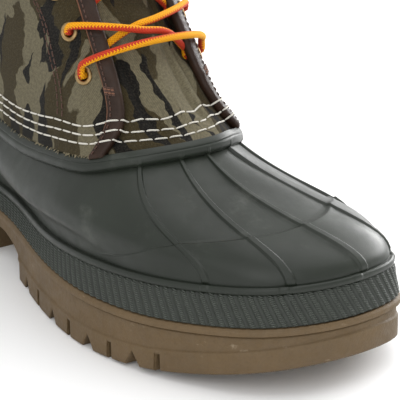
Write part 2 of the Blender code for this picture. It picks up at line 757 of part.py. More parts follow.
def punch(maker, spot, axis, radius):
    """A round cutter through the canvas."""
    side, up = frame_at(axis)
    turns = np.linspace(0, 2 * pi, EYELET_SIDES, endpoint=False)
    rims = []
    for height in (-3 * CANVAS_WALL, 3 * CANVAS_WALL):
        rims.append([spot + axis * height + (side * cos(t) + up * sin(t)) * radius for t in turns])
    verts = skin(maker, np.array(rims), True, False)
    maker.faces.new(verts[0][::-1])
    maker.faces.new(verts[1])


def eyelet_places():
    """Row and place up the shaft of each eyelet, lateral and medial, from the bottom up."""
    rings = eyelet_rings()
    rows = (band_row(rings) + lap_columns(rings)[:, 0]) / 2
    middle_rows, middles = (rows[1:] + rows[:-1]) / 2, (rings[1:] + rings[:-1]) / 2
    return [[(side * row, place) for row, place in zip(middle_rows, middles)] for side in (1, -1)]


def eyelet_spots():
    """Middle and outward direction of each eyelet, square in its flat patch of canvas, lateral first."""
    rings = eyelet_rings()
    spots = []
    for side in (1, -1):
        back = shaft_surface(side * band_row(rings), rings)
        front = shaft_surface(side * lap_columns(rings)[:, 0], rings)
        for k in range(EYELET_PAIRS):
            middle = (back[k] + back[k + 1] + front[k] + front[k + 1]) / 4
            across = (front[k] + front[k + 1] - back[k] - back[k + 1]) * side
            spots.append((middle, unit(np.cross(across, back[k + 1] + front[k + 1] - back[k] - front[k]))))
    return spots


def make_eyelets():
    """Turned eyelets: an outer flange, a barrel through the canvas and an inner flange."""
    outer = GAP + EYELET_FLANGE
    inner = -CANVAS_WALL - GAP - EYELET_FLANGE
    profile = [(EYELET_BORE, inner), (EYELET_BORE, outer), (EYELET_RADIUS, GAP + EYELET_FLANGE * 0.4),
               (EYELET_RADIUS, GAP), (EYELET_BARREL, GAP), (EYELET_BARREL, -CANVAS_WALL - GAP),
               (EYELET_RADIUS, -CANVAS_WALL - GAP)]
    made = []
    for index, (spot, axis) in enumerate(eyelet_spots()):
        side, up = frame_at(axis)
        turns = np.linspace(0, 2 * pi, EYELET_SIDES, endpoint=False)
        rims = [[spot + axis * height + (side * cos(t) + up * sin(t)) * radius for t in turns]
                for radius, height in profile]
        maker = bmesh.new()
        skin(maker, np.array(rims), True, True)
        flank = "lateral" if index < EYELET_PAIRS else "medial"
        made.append(finish(maker, f"eyelet_{flank}_{index % EYELET_PAIRS + 1}", "antique brass"))
    return made


def make_tongue():
    places = np.maximum(shaft_places(), edge_places(GAP))
    lap = lap_columns(places)
    middle = np.linspace(0, 1, 7)[1:-1]
    bridge = lap[:, -1:] + (ROUND - 2 * lap[:, -1:]) * middle
    rows = np.concatenate([lap, bridge, ROUND - lap[:, ::-1]], axis=1)
    grid_places = np.broadcast_to(places[:, None], rows.shape)
    outer = shaft_layer(rows, grid_places, CANVAS_WALL + GAP)
    inner = shaft_layer(rows, grid_places, CANVAS_WALL + GAP + TONGUE_WALL)
    lean = unit(outer[-1] - outer[-4])
    outer = np.concatenate([outer, (outer[-1] + lean * TONGUE_RISE)[None]])
    inner = np.concatenate([inner, (inner[-1] + lean * TONGUE_RISE)[None]])
    return finish(folded_sheet(outer, inner), "tongue", "camouflage canvas")


def make_binding(flank, side):
    """A leather strip folded over the throat's edge, L-shaped in section."""
    places = shaft_places()
    edge = throat_row(places)
    width = 1 / row_width(places)
    lift = hem_lift(places)
    wrap = GAP + BINDING_WALL
    section = [(-GAP, -CANVAS_WALL, 0), (-GAP, GAP, 1), (BINDING_WIDTH, GAP, 1),
               (BINDING_WIDTH, GAP + BINDING_WALL * 0.8, 1), (0.0, wrap, 1),
               (-wrap, BINDING_WALL * 0.3, 1), (-wrap, -CANVAS_WALL, 0)]
    lines = []
    for across, height, lifted in section:
        rows = side * (edge - across * width)
        lines.append(shaft_layer(rows, places, -(height + lift * lifted)))
    maker = bmesh.new()
    verts = skin(maker, np.array(lines).transpose(1, 0, 2), True, False)
    maker.faces.new(verts[0][::-1])
    maker.faces.new(verts[-1])
    return finish(maker, f"binding_{flank}", "brown leather")


def tube(maker, path, radius, sides):
    """A round bar with flat ends along a path."""
    run = unit(np.gradient(path, axis=0))
    side = unit(np.cross(UP, run))
    top = np.cross(run, side)
    turns = np.linspace(0, 2 * pi, sides, endpoint=False)[:, None, None]
    rims = path[None] + (side[None] * np.cos(turns) + top[None] * np.sin(turns)) * radius
    verts = skin(maker, rims.transpose(1, 0, 2), True, False)
    maker.faces.new(verts[0][::-1])
    maker.faces.new(verts[-1])


def lace_path(start, end, arch, bow):
    """A bar over the throat between two ends, each a row, a place up the shaft and a height over it.

    It stands off the shaft by an arch and bows up the throat between its ends."""
    t = np.linspace(0, 1, 12)
    rows, places, lift = np.outer(start, 1 - t) + np.outer(end, t)
    hump = np.sqrt(4 * t * (1 - t))
    return shaft_layer(rows, edge_places(bow * hump, places), -lift - arch * hump)


def lace_seats():
    """The laces' ends on the eyelets' flanges, lateral and medial, from the bottom up."""
    over = GAP + EYELET_FLANGE + GAP + LACE_RADIUS
    lateral, medial = eyelet_places()
    seats = []
    for (row, place), (spot, axis) in zip(lateral + medial, eyelet_spots()):
        sunk = np.dot(shaft_surface(row, place) - spot, axis)
        seats.append((row if row > 0 else ROUND + row, place, over - sunk))
    return seats[:EYELET_PAIRS], seats[EYELET_PAIRS:]


def lace_starts(level):
    """Where a crossing's two bars start: behind the edges of the two flaps."""
    lateral, medial = lace_seats()
    under = LACE_RADIUS + GAP - CANVAS_WALL
    starts = []
    for side, (_, seat, _), climb in ((1, lateral[level], LATERAL_CLIMB), (-1, medial[level], MEDIAL_CLIMB)):
        place = float(edge_places(climb, seat))
        edge = float(throat_row(place))
        near, far = shaft_surface(side * edge, place), shaft_surface(side * (edge + 0.5), place)
        row = edge + 0.5 * LACE_START / np.linalg.norm(far - near)
        starts.append((row if side > 0 else ROUND - row, place, under))
    return starts


def make_laces():
    """The lowest bar, straight across, and one solid for each crossing: two bars that run through each other
    in front of the tongue."""
    lateral, medial = lace_seats()
    maker = bmesh.new()
    tube(maker, lace_path(lateral[0], medial[0], BAR_ARCH, BAR_BOW), LACE_RADIUS, LACE_SIDES)
    made = [finish(maker, "lace_bar", "yellow and red cord")]
    for k in range(EYELET_PAIRS - 1):
        bars = []
        for start, end in zip(lace_starts(k), (medial[k + 1], lateral[k + 1])):
            maker = bmesh.new()
            tube(maker, lace_path(start, end, LACE_ARCH, LACE_BOW), LACE_RADIUS, LACE_SIDES)
            bars.append(maker)
        first = finish(bars[0], f"lace_crossing_{k + 1}", "yellow and red cord")
        second = finish(bars[1], f"lace_cutter_{k + 1}", "yellow and red cord")
        second.hide_render = True
        second.display_type = "WIRE"
        union = first.modifiers.new("cross", "BOOLEAN")
        union.operation = "UNION"
        union.solver = "EXACT"
        union.object = second
        made.append(first)
    return made


def stand_at_origin():
    """Hang every piece under one empty, which puts the middle of the outsole over the origin."""
    rows = np.linspace(0, ROUND, 2000)
    outline = sole_side(rows, LIP_SWELL, 0.0)
    middle = (outline.max(0) + outline.min(0)) / 2
    boot = bpy.data.objects.new("boot", None)
    bpy.context.collection.objects.link(boot)
    for thing in list(bpy.context.scene.objects):
        if thing is not boot and thing.parent is None:
            thing.parent = boot
    boot.location = (-middle[0], -middle[1], 0.0)


def main():
    for thing in list(bpy.data.objects):
        bpy.data.objects.remove(thing)
    make_sole()
    make_shell()
    make_insole()
    make_shaft()
    make_tongue()
    make_binding("lateral", 1)
    make_binding("medial", -1)
    make_eyelets()
    make_laces()
    stand_at_origin()


main()
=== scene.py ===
"""Looks of a right-foot duck boot: knurled rubber bottom, printed canvas, leather bindings, lace, gum sole.

The boot stands on its sole with the toe towards +X. -Y is its lateral side. Lengths are metres. Each piece
is a surface of two numbers: a row round the boot, 0 at the back of the heel, 14 at the toe tip by the
lateral side and 28 at the heel again, and a rise or place up it.
"""

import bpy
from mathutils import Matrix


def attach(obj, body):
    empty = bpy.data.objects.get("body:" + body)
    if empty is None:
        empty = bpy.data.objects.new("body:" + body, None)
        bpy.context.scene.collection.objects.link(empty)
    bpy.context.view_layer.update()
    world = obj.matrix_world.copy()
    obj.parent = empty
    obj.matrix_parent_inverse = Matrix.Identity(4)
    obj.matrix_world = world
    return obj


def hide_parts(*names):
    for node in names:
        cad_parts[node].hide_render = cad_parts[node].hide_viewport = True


bl_info = {
    "name": "Duck Boot Looks",
    "version": (1, 0, 0),
    "blender": (4, 5, 0),
    "location": "3D View > Sidebar > Boot",
    "description": "Builds the visible surfaces and finishes of a duck boot round its packed solids",
    "category": "Object",
}

from collections import namedtuple
from math import cos, pi, radians, sin

import bmesh
import bpy
import numpy as np
from bpy.props import FloatProperty, FloatVectorProperty, PointerProperty
from mathutils import Vector

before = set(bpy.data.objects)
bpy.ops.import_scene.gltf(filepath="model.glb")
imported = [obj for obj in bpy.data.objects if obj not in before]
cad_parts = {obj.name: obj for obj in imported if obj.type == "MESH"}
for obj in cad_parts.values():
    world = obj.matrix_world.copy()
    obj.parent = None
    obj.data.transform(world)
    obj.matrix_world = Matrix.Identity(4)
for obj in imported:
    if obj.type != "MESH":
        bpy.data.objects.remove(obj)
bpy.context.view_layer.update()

MM = 0.001
GAP = 0.3 * MM

# Sizes of the solids that the surfaces follow
LENGTH = 310 * MM
BALL_WIDTH = 107 * MM
SOLE_HEIGHT = 22.9 * MM
TOE_SPRING = 14.0 * MM
SPRING_START = 0.70
COLLAR_LENGTH = 224 * MM
COLLAR_BACK = 9 * MM
COLLAR_HEIGHT = 64 * MM
BOOT_HEIGHT = 188 * MM
RUBBER_WALL = 2.4 * MM
FOXING_HEIGHT = 16 * MM
FOXING_LEAN = 3.1 * MM
FOXING_STEP = 1.4 * MM
INSTEP_RISE = 12.6 * MM
RIB_WIDTH = 2.4 * MM
RIB_FLANK = 0.7 * MM
RIB_HEIGHT = 0.95 * MM
CAP_STEP = 0.6 * MM
ROLL_HEIGHT = 6.5 * MM
ROLL_SWELL = 2.1 * MM
ROLL_SETBACK = 1.6 * MM
LEDGE_LIP = 0.4 * MM
FLANGE_HEIGHT = 14 * MM
FLANGE_WALL = 1.4 * MM
MARGIN_WIDTH = 12 * MM
MARGIN_WALL = 2.4 * MM
MARGIN_FILLET = 1.2 * MM
CANVAS_WALL = 1.5 * MM
TONGUE_WALL = 1.5 * MM
TONGUE_RISE = 9 * MM
TONGUE_LAP = 7 * MM
HEM_HEIGHT = 9 * MM
HEM_STEP = 0.5 * MM
EYELET_PAIRS = 6
EYELET_BARREL = 2.75 * MM
EYELET_BAND = 9.6 * MM
EYELET_FIRST = 31 * MM
EYELET_PITCH = 18 * MM
LACE_RADIUS = 1.45 * MM
LACE_BOW = 8 * MM
BAR_BOW = 14 * MM
LATERAL_CLIMB = 12 * MM
MEDIAL_CLIMB = 5 * MM
LIP_HEIGHT = 3.4 * MM
LIP_SWELL = 0.9 * MM
LUG_HEIGHT = 9.0 * MM
LUG_STEP = 0.8 * MM
HEEL_LENGTH = 111 * MM
ARCH_LENGTH = 36 * MM
ARCH_HEIGHT = 14.5 * MM
CHANNEL_WIDTH = 3.2 * MM
CHANNEL_DEPTH = 7.0 * MM
NOTCH_REACH = 6.0 * MM
INSOLE_WALL = 3.5 * MM
INSOLE_INSET = 2.6 * MM
INSOLE_GAP = 0.6 * MM

# Sizes of what only the looks have. Rows and places are shares of the way round and up, not lengths
BEAD_HEIGHT = 3.0 * MM
FOXING_TILT = FOXING_LEAN * 0.85
CAP_EDGE = 0.012
CHANNEL_HALF = CHANNEL_WIDTH * 0.38
NOTCH_HEIGHT = 6.3 * MM
NOTCH_HALF = 3.9 * MM
LIP_FALL = 0.9 * MM
SEAM_ROW = 8.2
SEAM_LAP = 0.45 * MM
BAR_TACK = 0.265
WHITE_ROWS = (5.0 * MM, 8.5 * MM, 12.0 * MM)
WARP_PITCH = 0.72 * MM
WEFT_PITCH = 0.80 * MM
PLY_PITCH = 0.8 * MM
BRAID_PITCH = 1.27 * MM
BRAID_STRANDS = 8
TOOTH_DEPTH = 0.27
LACE_STEP = 0.7 * MM
LACE_TWIST = 5.0
LACE_PHASE = 0.72
FRAY_COUNT = 760
FRAY_SEED = 7

Foot = namedtuple("Foot", "along lateral medial foxing")
FOOT = [
    Foot(0.000, 0.000, 0.000, 0.85),
    Foot(0.012, 0.130, 0.130, 0.85),
    Foot(0.050, 0.250, 0.250, 0.84),
    Foot(0.120, 0.335, 0.330, 0.80),
    Foot(0.220, 0.356, 0.345, 0.70),
    Foot(0.340, 0.335, 0.300, 0.62),
    Foot(0.450, 0.371, 0.270, 0.60),
    Foot(0.560, 0.461, 0.320, 0.68),
    Foot(0.660, 0.516, 0.419, 0.86),
    Foot(0.740, 0.514, 0.481, 0.96),
    Foot(0.820, 0.469, 0.483, 1.00),
    Foot(0.890, 0.381, 0.453, 1.00),
    Foot(0.945, 0.279, 0.378, 1.00),
    Foot(0.983, 0.141, 0.278, 1.00),
    Foot(1.000, -0.063, 0.064, 1.00),
]
Collar = namedtuple("Collar", "lateral_along lateral medial_along medial rise slope reach")
COLLAR = [
    Collar(0.000, 0.000, 0.000, 0.000, 1.350, 88, 0.160),
    Collar(0.010, 0.115, 0.010, 0.115, 1.345, 88, 0.160),
    Collar(0.047, 0.218, 0.047, 0.215, 1.315, 86, 0.165),
    Collar(0.127, 0.310, 0.127, 0.298, 1.235, 82, 0.175),
    Collar(0.255, 0.366, 0.255, 0.345, 1.120, 76, 0.190),
    Collar(0.405, 0.375, 0.405, 0.330, 1.020, 72, 0.190),
    Collar(0.540, 0.395, 0.545, 0.310, 0.960, 66, 0.200),
    Collar(0.665, 0.428, 0.672, 0.305, 0.948, 59, 0.220),
    Collar(0.780, 0.445, 0.782, 0.300, 0.990, 53, 0.235),
    Collar(0.869, 0.434, 0.872, 0.258, 1.030, 47, 0.250),
    Collar(0.924, 0.387, 0.936, 0.174, 1.085, 40, 0.275),
    Collar(0.965, 0.313, 0.968, 0.106, 1.130, 35, 0.295),
    Collar(0.987, 0.225, 0.983, 0.064, 1.150, 31, 0.315),
    Collar(0.997, 0.150, 0.996, 0.000, 1.158, 29, 0.325),
    Collar(1.000, 0.075, 1.000, -0.075, 1.160, 28, 0.328),
]
SHAFT_ANGLES = (180, 172, 160, 143, 124, 105, 88, 72, 57, 45, 34, 24, 15, 7, 0)
Level = namedtuple("Level", "back_along back_height front_along front_height half_width centre power "
                            "knot throat")
LEVELS = [
    Level(0.026, 0.596, 0.700, 0.491, 0.350, -0.110, 2.7, 0.23, 10.90),
    Level(0.040, 0.704, 0.627, 0.655, 0.330, -0.120, 2.8, 0.45, 11.35),
    Level(0.050, 0.800, 0.540, 0.798, 0.328, -0.085, 2.3, 0.65, 11.40),
    Level(0.046, 0.890, 0.503, 0.912, 0.348, -0.055, 2.1, 0.83, 11.35),
    Level(0.034, 0.980, 0.484, 1.020, 0.375, -0.040, 2.0, 1.00, 11.25),
]
COLLAR_THROAT = 9.72
Rib = namedtuple("Rib", "row swing")
RIBS = [Rib(11.05, 0.00), Rib(12.70, 0.15), Rib(14.12, 0.20), Rib(15.75, 0.12), Rib(17.95, 0.00)]
CapPoint = namedtuple("CapPoint", "row rise")
TOE_CAP = [CapPoint(8.7, 0.05), CapPoint(9.5, 0.18), CapPoint(10.4, 0.37), CapPoint(11.2, 0.45),
           CapPoint(12.7, 0.47), CapPoint(14.3, 0.49), CapPoint(15.8, 0.53), CapPoint(17.5, 0.47),
           CapPoint(18.5, 0.20), CapPoint(19.4, 0.05)]
FOREFOOT_START = HEEL_LENGTH + ARCH_LENGTH
CHANNELS = ([HEEL_LENGTH * s for s in (0.237, 0.517, 0.796)]
            + [FOREFOOT_START + (LENGTH - FOREFOOT_START) * s for s in (0.173, 0.369, 0.538, 0.688)])
NOTCHES = ([HEEL_LENGTH * s for s in (0.377, 0.656)]
           + [FOREFOOT_START + (LENGTH - FOREFOOT_START) * s for s in (0.068, 0.272, 0.454, 0.614)])

# Soft creases in the canvas and the tongue. Each runs from one row and place to another. width and depth are
# millimetres, and a depth above 0 is a trough.
Crease = namedtuple("Crease", "row place end_row end_place width depth")
CANVAS_CREASES = [
    Crease(5.2, 0.30, 8.6, 0.40, 7.0, 1.5), Crease(5.8, 0.42, 9.0, 0.50, 6.0, -1.0),
    Crease(3.6, 0.34, 6.6, 0.27, 7.5, 1.2), Crease(6.6, 0.56, 9.2, 0.61, 6.5, 1.0),
    Crease(2.0, 0.46, 5.4, 0.52, 8.0, 1.1), Crease(0.3, 0.40, 2.6, 0.36, 8.0, 1.0),
    Crease(22.8, 0.30, 19.4, 0.40, 7.0, 1.5), Crease(22.2, 0.42, 19.0, 0.50, 6.0, -1.0),
    Crease(24.6, 0.35, 21.6, 0.28, 7.5, 1.2), Crease(26.0, 0.47, 22.8, 0.53, 8.0, 1.1),
    Crease(21.4, 0.57, 18.8, 0.62, 6.5, 1.0), Crease(27.8, 0.52, 25.6, 0.45, 8.0, 0.9),
    Crease(8.9, 0.06, 9.3, 0.24, 4.0, -0.7), Crease(7.2, 0.10, 7.6, 0.26, 5.0, 0.7),
]
TONGUE_CREASES = [
    Crease(12.4, 0.10, 12.9, 0.62, 4.5, 1.3), Crease(15.8, 0.12, 15.4, 0.50, 4.0, 1.7),
    Crease(16.6, 0.20, 16.2, 0.80, 3.0, 2.0), Crease(14.2, 0.16, 14.1, 0.46, 6.0, -1.4),
    Crease(11.6, 0.55, 12.2, 0.95, 4.0, 1.0), Crease(13.4, 0.60, 13.7, 0.98, 6.0, 0.9),
]
ROW_SPAN = 12.0
PLACE_SPAN = 118.0

# Camera: where the photograph was taken from, in degrees, and its frame of 400 points
AZIMUTH = 55.07
ELEVATION = 21.99
DISTANCE = 1.001
FOCAL_POINTS = 2612.6
FRAME_POINTS = 400
CENTRE_POINT = (204.39, 245.38)
TARGET = (0.250, -0.020, 0.045)

ROWS = len(FOOT)
ROUND = 2 * (ROWS - 1)
TOE_ROW = ROWS - 1
UP = np.array([0.0, 0.0, 1.0])


# Shared shapes

def smoothstep(start, end, value):
    """0 before the start, 1 past the end, and 3 t squared less 2 t cubed between."""
    share = np.clip((np.asarray(value, float) - start) / (end - start), 0.0, 1.0)
    return share * share * (3 - 2 * share)


def unit(vectors):
    """Vectors divided by their lengths."""
    return vectors / np.linalg.norm(vectors, axis=-1, keepdims=True)


def running_length(points):
    """Length run along a line of points, from 0 at its first."""
    return np.concatenate([[0], np.cumsum(np.linalg.norm(np.diff(points, axis=0), axis=1))])


def from_back(rows):
    """Rows counted from the middle of the heel, up either side."""
    turn = np.mod(rows, ROUND)
    return np.minimum(turn, ROUND - turn)


def closed_curve(points):
    """A function of row numbers: the natural closed cubic through a ring of points."""
    points = np.asarray(points, float)
    count = len(points)
    index = np.arange(count)
    system = np.zeros((count, count))
    system[index, index] = 4
    system[index, (index + 1) % count] = 1
    system[index, (index - 1) % count] = 1
    slopes = np.linalg.solve(system, 3 * (np.roll(points, -1, axis=0) - np.roll(points, 1, axis=0)))

    def at(rows):
        rows = np.mod(np.asarray(rows, float), count)
        low = np.floor(rows).astype(int) % count
        high = (low + 1) % count
        share = (rows - np.floor(rows))[..., None]
        first = 1 - 3 * share ** 2 + 2 * share ** 3
        second = 3 * share ** 2 - 2 * share ** 3
        start = share * (1 - share) ** 2
        end = share ** 2 * (share - 1)
        return first * points[low] + second * points[high] + start * slopes[low] + end * slopes[high]

    return at


def ring(lateral, medial):
    """The lateral rows, heel to toe, and then the medial rows, toe to heel."""
    return np.array(list(lateral) + list(medial[1:-1])[::-1])


FOOT_LINE = closed_curve(ring([(r.along * LENGTH, -r.lateral * BALL_WIDTH, r.foxing) for r in FOOT],
                              [(r.along * LENGTH, r.medial * BALL_WIDTH, r.foxing) for r in FOOT]))
COLLAR_LINE = closed_curve(ring(
    [(COLLAR_BACK + r.lateral_along * COLLAR_LENGTH, -r.lateral * BALL_WIDTH, r.rise * COLLAR_HEIGHT)
     for r in COLLAR],
    [(COLLAR_BACK + r.medial_along * COLLAR_LENGTH, r.medial * BALL_WIDTH, r.rise * COLLAR_HEIGHT)
     for r in COLLAR]))
COLLAR_HANDLE = closed_curve(ring([(r.slope, r.reach * BALL_WIDTH) for r in COLLAR],
                                  [(r.slope, r.reach * BALL_WIDTH) for r in COLLAR]))
ANGLE_LINE = closed_curve(ring([(cos(radians(a)), -sin(radians(a))) for a in SHAFT_ANGLES],
                               [(cos(radians(a)), sin(radians(a))) for a in SHAFT_ANGLES]))


def outward(curve, rows):
    """Level direction out of a ring, square to its tangent."""
    step = 0.02
    tangent = curve(rows + step) - curve(rows - step)
    return unit(np.stack([tangent[..., 1], -tangent[..., 0], 0 * tangent[..., 0]], -1))


def spring_share(x):
    """The toe spring's parabola: 0 up to its start, 1 at the toe tip."""
    return np.clip((x / LENGTH - SPRING_START) / (1 - SPRING_START), 0.0, 1.0) ** 2


def sole_top(x):
    """The sole's height, with half of the toe spring."""
    return SOLE_HEIGHT + 0.5 * TOE_SPRING * spring_share(x)


def sole_bottom(x):
    """The tread's height: the whole toe spring."""
    return TOE_SPRING * spring_share(x)


def foot_edge(rows, inset, lift):
    """Points inside the foot's outline by inset, at a height over the sole's top."""
    place = FOOT_LINE(rows)
    place[..., 2] = 0
    place = place - outward(FOOT_LINE, rows) * np.asarray(inset)[..., None]
    place[..., 2] = sole_top(place[..., 0]) + lift
    return place


def foxing_height(rows):
    """The foxing's height times the outline's own share."""
    return FOXING_HEIGHT * FOOT_LINE(rows)[..., 2]


def instep(rows, rise):
    """The rubber between foxing and collar: a cubic Bezier curve up each row."""
    foot = foot_edge(rows, FOXING_LEAN + FOXING_STEP + 0 * rows, foxing_height(rows))
    collar = COLLAR_LINE(rows)
    handle = COLLAR_HANDLE(rows)
    slope = np.radians(handle[..., :1])
    fall = outward(COLLAR_LINE, rows) * np.cos(slope) - UP * np.sin(slope)
    near_foot = foot + UP * INSTEP_RISE
    near_collar = collar + fall * handle[..., 1:2]
    t = np.asarray(rise)[..., None]
    return ((1 - t) ** 3 * foot + 3 * (1 - t) ** 2 * t * near_foot
            + 3 * (1 - t) * t ** 2 * near_collar + t ** 3 * collar)


def level_ring(level, rows):
    """One section of the shaft: a superellipse that leans forward."""
    turn = unit(ANGLE_LINE(rows))
    ahead = np.sign(turn[..., 0]) * np.abs(turn[..., 0]) ** (2 / level.power)
    aside = np.sign(turn[..., 1]) * np.abs(turn[..., 1]) ** (2 / level.power)
    share = (1 + ahead) / 2
    x = LENGTH * (level.back_along + (level.front_along - level.back_along) * share)
    y = BALL_WIDTH * (level.half_width * aside + level.centre * share)
    z = BOOT_HEIGHT * (level.back_height + (level.front_height - level.back_height) * share)
    return np.stack([x, y, z], -1)


def canvas_foot(rows):
    """The canvas's lower edge: the collar line raised over the roll and set back."""
    return COLLAR_LINE(rows) + UP * ROLL_HEIGHT - outward(COLLAR_LINE, rows) * ROLL_SETBACK


KNOTS = np.array([0.0] + [level.knot for level in LEVELS])
THROAT_ROWS = np.array([COLLAR_THROAT] + [level.throat for level in LEVELS])


def knot_weights(places):
    """Weights of the shaft's sections at places up it, for a natural cubic through them."""
    count = len(KNOTS)
    gaps = np.diff(KNOTS)
    bend = np.zeros((count, count))
    pull = np.zeros((count, count))
    bend[0, 0] = bend[-1, -1] = 1
    for k in range(1, count - 1):
        bend[k, k - 1:k + 2] = gaps[k - 1], 2 * (gaps[k - 1] + gaps[k]), gaps[k]
        pull[k, k - 1:k + 2] = 6 / gaps[k - 1], -6 / gaps[k - 1] - 6 / gaps[k], 6 / gaps[k]
    seconds = np.linalg.solve(bend, pull)
    places = np.asarray(places, float)
    low = np.clip(np.searchsorted(KNOTS, places) - 1, 0, count - 2)
    gap = gaps[low]
    b = ((places - KNOTS[low]) / gap)[..., None]
    a = 1 - b
    identity = np.eye(count)
    curve = (a ** 3 - a) * seconds[low] + (b ** 3 - b) * seconds[low + 1]
    return a * identity[low] + b * identity[low + 1] + curve * (gap[..., None] ** 2) / 6


def shaft_surface(rows, places):
    """The canvas's outer surface: a cubic through its sections, from place 0 at its foot to 1 at its top."""
    rows, places = np.broadcast_arrays(np.asarray(rows, float), np.asarray(places, float))
    sections = np.stack([canvas_foot(rows)] + [level_ring(level, rows) for level in LEVELS], -2)
    return (knot_weights(places)[..., None] * sections).sum(-2)


def normals(surface, first, second):
    """Directions out of a surface of two numbers, from its two slopes."""
    step = 0.004
    along = surface(first + step, second) - surface(first - step, second)
    up = surface(first, second + step) - surface(first, second - step)
    return unit(np.cross(along, up))


def shaft_layer(rows, places, depth):
    """The shaft's surface moved inward by depth."""
    rows, places = np.broadcast_arrays(np.asarray(rows, float), np.asarray(places, float))
    depth = np.broadcast_to(depth, rows.shape)
    return shaft_surface(rows, places) - normals(shaft_surface, rows, places) * depth[..., None]


def throat_row(places):
    """Row of the throat's lateral edge: the same cubic through each section's own row."""
    return (knot_weights(places) * THROAT_ROWS).sum(-1)


def row_width(places):
    """Length of one row beside the throat's edge."""
    edge = throat_row(places)
    step = 0.5
    return np.linalg.norm(shaft_surface(edge, places) - shaft_surface(edge - step, places), axis=-1) / step


def edge_places(distances, start=0.0):
    """Places up the shaft at distances along the throat's lateral edge from the start's place."""
    places = np.linspace(0, 1, 241)
    run = running_length(shaft_surface(throat_row(places), places))
    return np.interp(np.interp(start, places, run) + distances, run, places)


def crease_depth(creases, rows, places):
    """Sum of soft troughs: each a bell across a bowed line, times a fade at the line's two ends."""
    total = np.zeros(np.broadcast(rows, places).shape)
    x, y = np.mod(rows, ROUND) * ROW_SPAN, places * PLACE_SPAN
    for c in creases:
        start = np.array([c.row * ROW_SPAN, c.place * PLACE_SPAN])
        run = np.array([c.end_row * ROW_SPAN, c.end_place * PLACE_SPAN]) - start
        length = np.linalg.norm(run)
        along = ((x - start[0]) * run[0] + (y - start[1]) * run[1]) / length
        across = ((y - start[1]) * run[0] - (x - start[0]) * run[1]) / length
        bow = 0.12 * length * np.sin(pi * np.clip(along / length, 0, 1))
        fade = smoothstep(-0.25, 0.25, along / length) * smoothstep(1.25, 0.75, along / length)
        total = total + c.depth * MM * fade * np.exp(-((across - bow) / c.width) ** 2)
    return total


def place_rate(rows):
    """Places up the shaft for one metre above the canvas's lower edge."""
    step = 0.08
    climb = shaft_surface(rows, step + 0 * rows) - shaft_surface(rows, 0 * rows)
    return step / np.linalg.norm(climb, axis=-1)


def hem_place():
    """Place of the hem's lower edge at the back, by its share of the top section's length."""
    back = shaft_surface(np.zeros(2), np.array([LEVELS[-2].knot, 1.0]))
    return 1 - (1 - LEVELS[-2].knot) * HEM_HEIGHT / np.linalg.norm(back[1] - back[0])


def canvas_relief(rows, places):
    """Height of the cloth over the plain shaft: the sum of a step at each lapped seam, the hem's step, sines
    for the puckers at the stitches, two crossed slow sines, and the creases."""
    turn = np.mod(rows, ROUND)
    lap = SEAM_LAP * smoothstep(SEAM_ROW - 0.10, SEAM_ROW - 0.02, from_back(rows))
    hem = HEM_STEP * smoothstep(hem_place() - 0.002, hem_place() + 0.004, places)
    pucker = 0.14 * MM * np.sin(turn * 9.5 + 2.2 * np.sin(turn * 2.3)) * smoothstep(0.26, 0.10, places)
    roll = 0.3 * MM * np.sin(turn * 1.7 + places * 9) * np.sin(places * 13 + turn * 0.9)
    return lap + hem + pucker + roll - crease_depth(CANVAS_CREASES, rows, places)


def canvas(rows, places, height=0.0):
    """The cloth's outer face, or a layer at a height over it."""
    rows, places = np.broadcast_arrays(np.asarray(rows, float), np.asarray(places, float))
    return shaft_layer(rows, places, -canvas_relief(rows, places) - height)


def foot_middle():
    """Middle of the box round the outsole's outline."""
    rows = np.linspace(0, ROUND, 2000)
    line = FOOT_LINE(rows) + outward(FOOT_LINE, rows) * LIP_SWELL
    middle = (line.max(0) + line.min(0)) / 2
    return np.array([middle[0], middle[1], 0.0])


FOOT_MIDDLE = foot_middle()


def standing(points):
    """Points moved so that the middle of the outsole stands over the origin."""
    return points - FOOT_MIDDLE


def even_rows(pitch):
    """Rows spaced evenly by length round the foot's outline."""
    rows = np.linspace(0, ROUND, 4001)
    run = running_length(FOOT_LINE(rows)[:, :2])
    count = int(round(run[-1] / pitch))
    return np.interp(np.arange(count) * run[-1] / count, run, rows)


# Meshes

Patch = namedtuple("Patch", "points around stack flip slot")


def patch(points, around=False, stack=False, flip=False, slot=0):
    """A grid of points, with whether its rings and its stack close, and the material of its faces."""
    return Patch(np.asarray(points, float), around, stack, flip, slot)


def lengths_along(points, axis, closed):
    """Running length along one axis of a grid, with one more value where it closes."""
    if closed:
        points = np.concatenate([points, np.take(points, [0], axis=axis)], axis=axis)
    step = np.linalg.norm(np.diff(points, axis=axis), axis=-1)
    run = np.cumsum(step, axis=axis)
    return np.concatenate([np.zeros_like(np.take(run, [0], axis=axis)), run], axis=axis)


def patch_uv(p, middle):
    """UV in metres: length along the rings, from their middle if asked, and length up the stack."""
    u = lengths_along(p.points, 1, p.around)
    v = lengths_along(p.points, 0, p.stack)
    if p.stack:
        u = np.concatenate([u, u[:1]])
    if p.around:
        v = np.concatenate([v, v[:, :1]], axis=1)
    if middle:
        u = u - u[:, u.shape[1] // 2][:, None]
    return np.stack([u, v], -1)


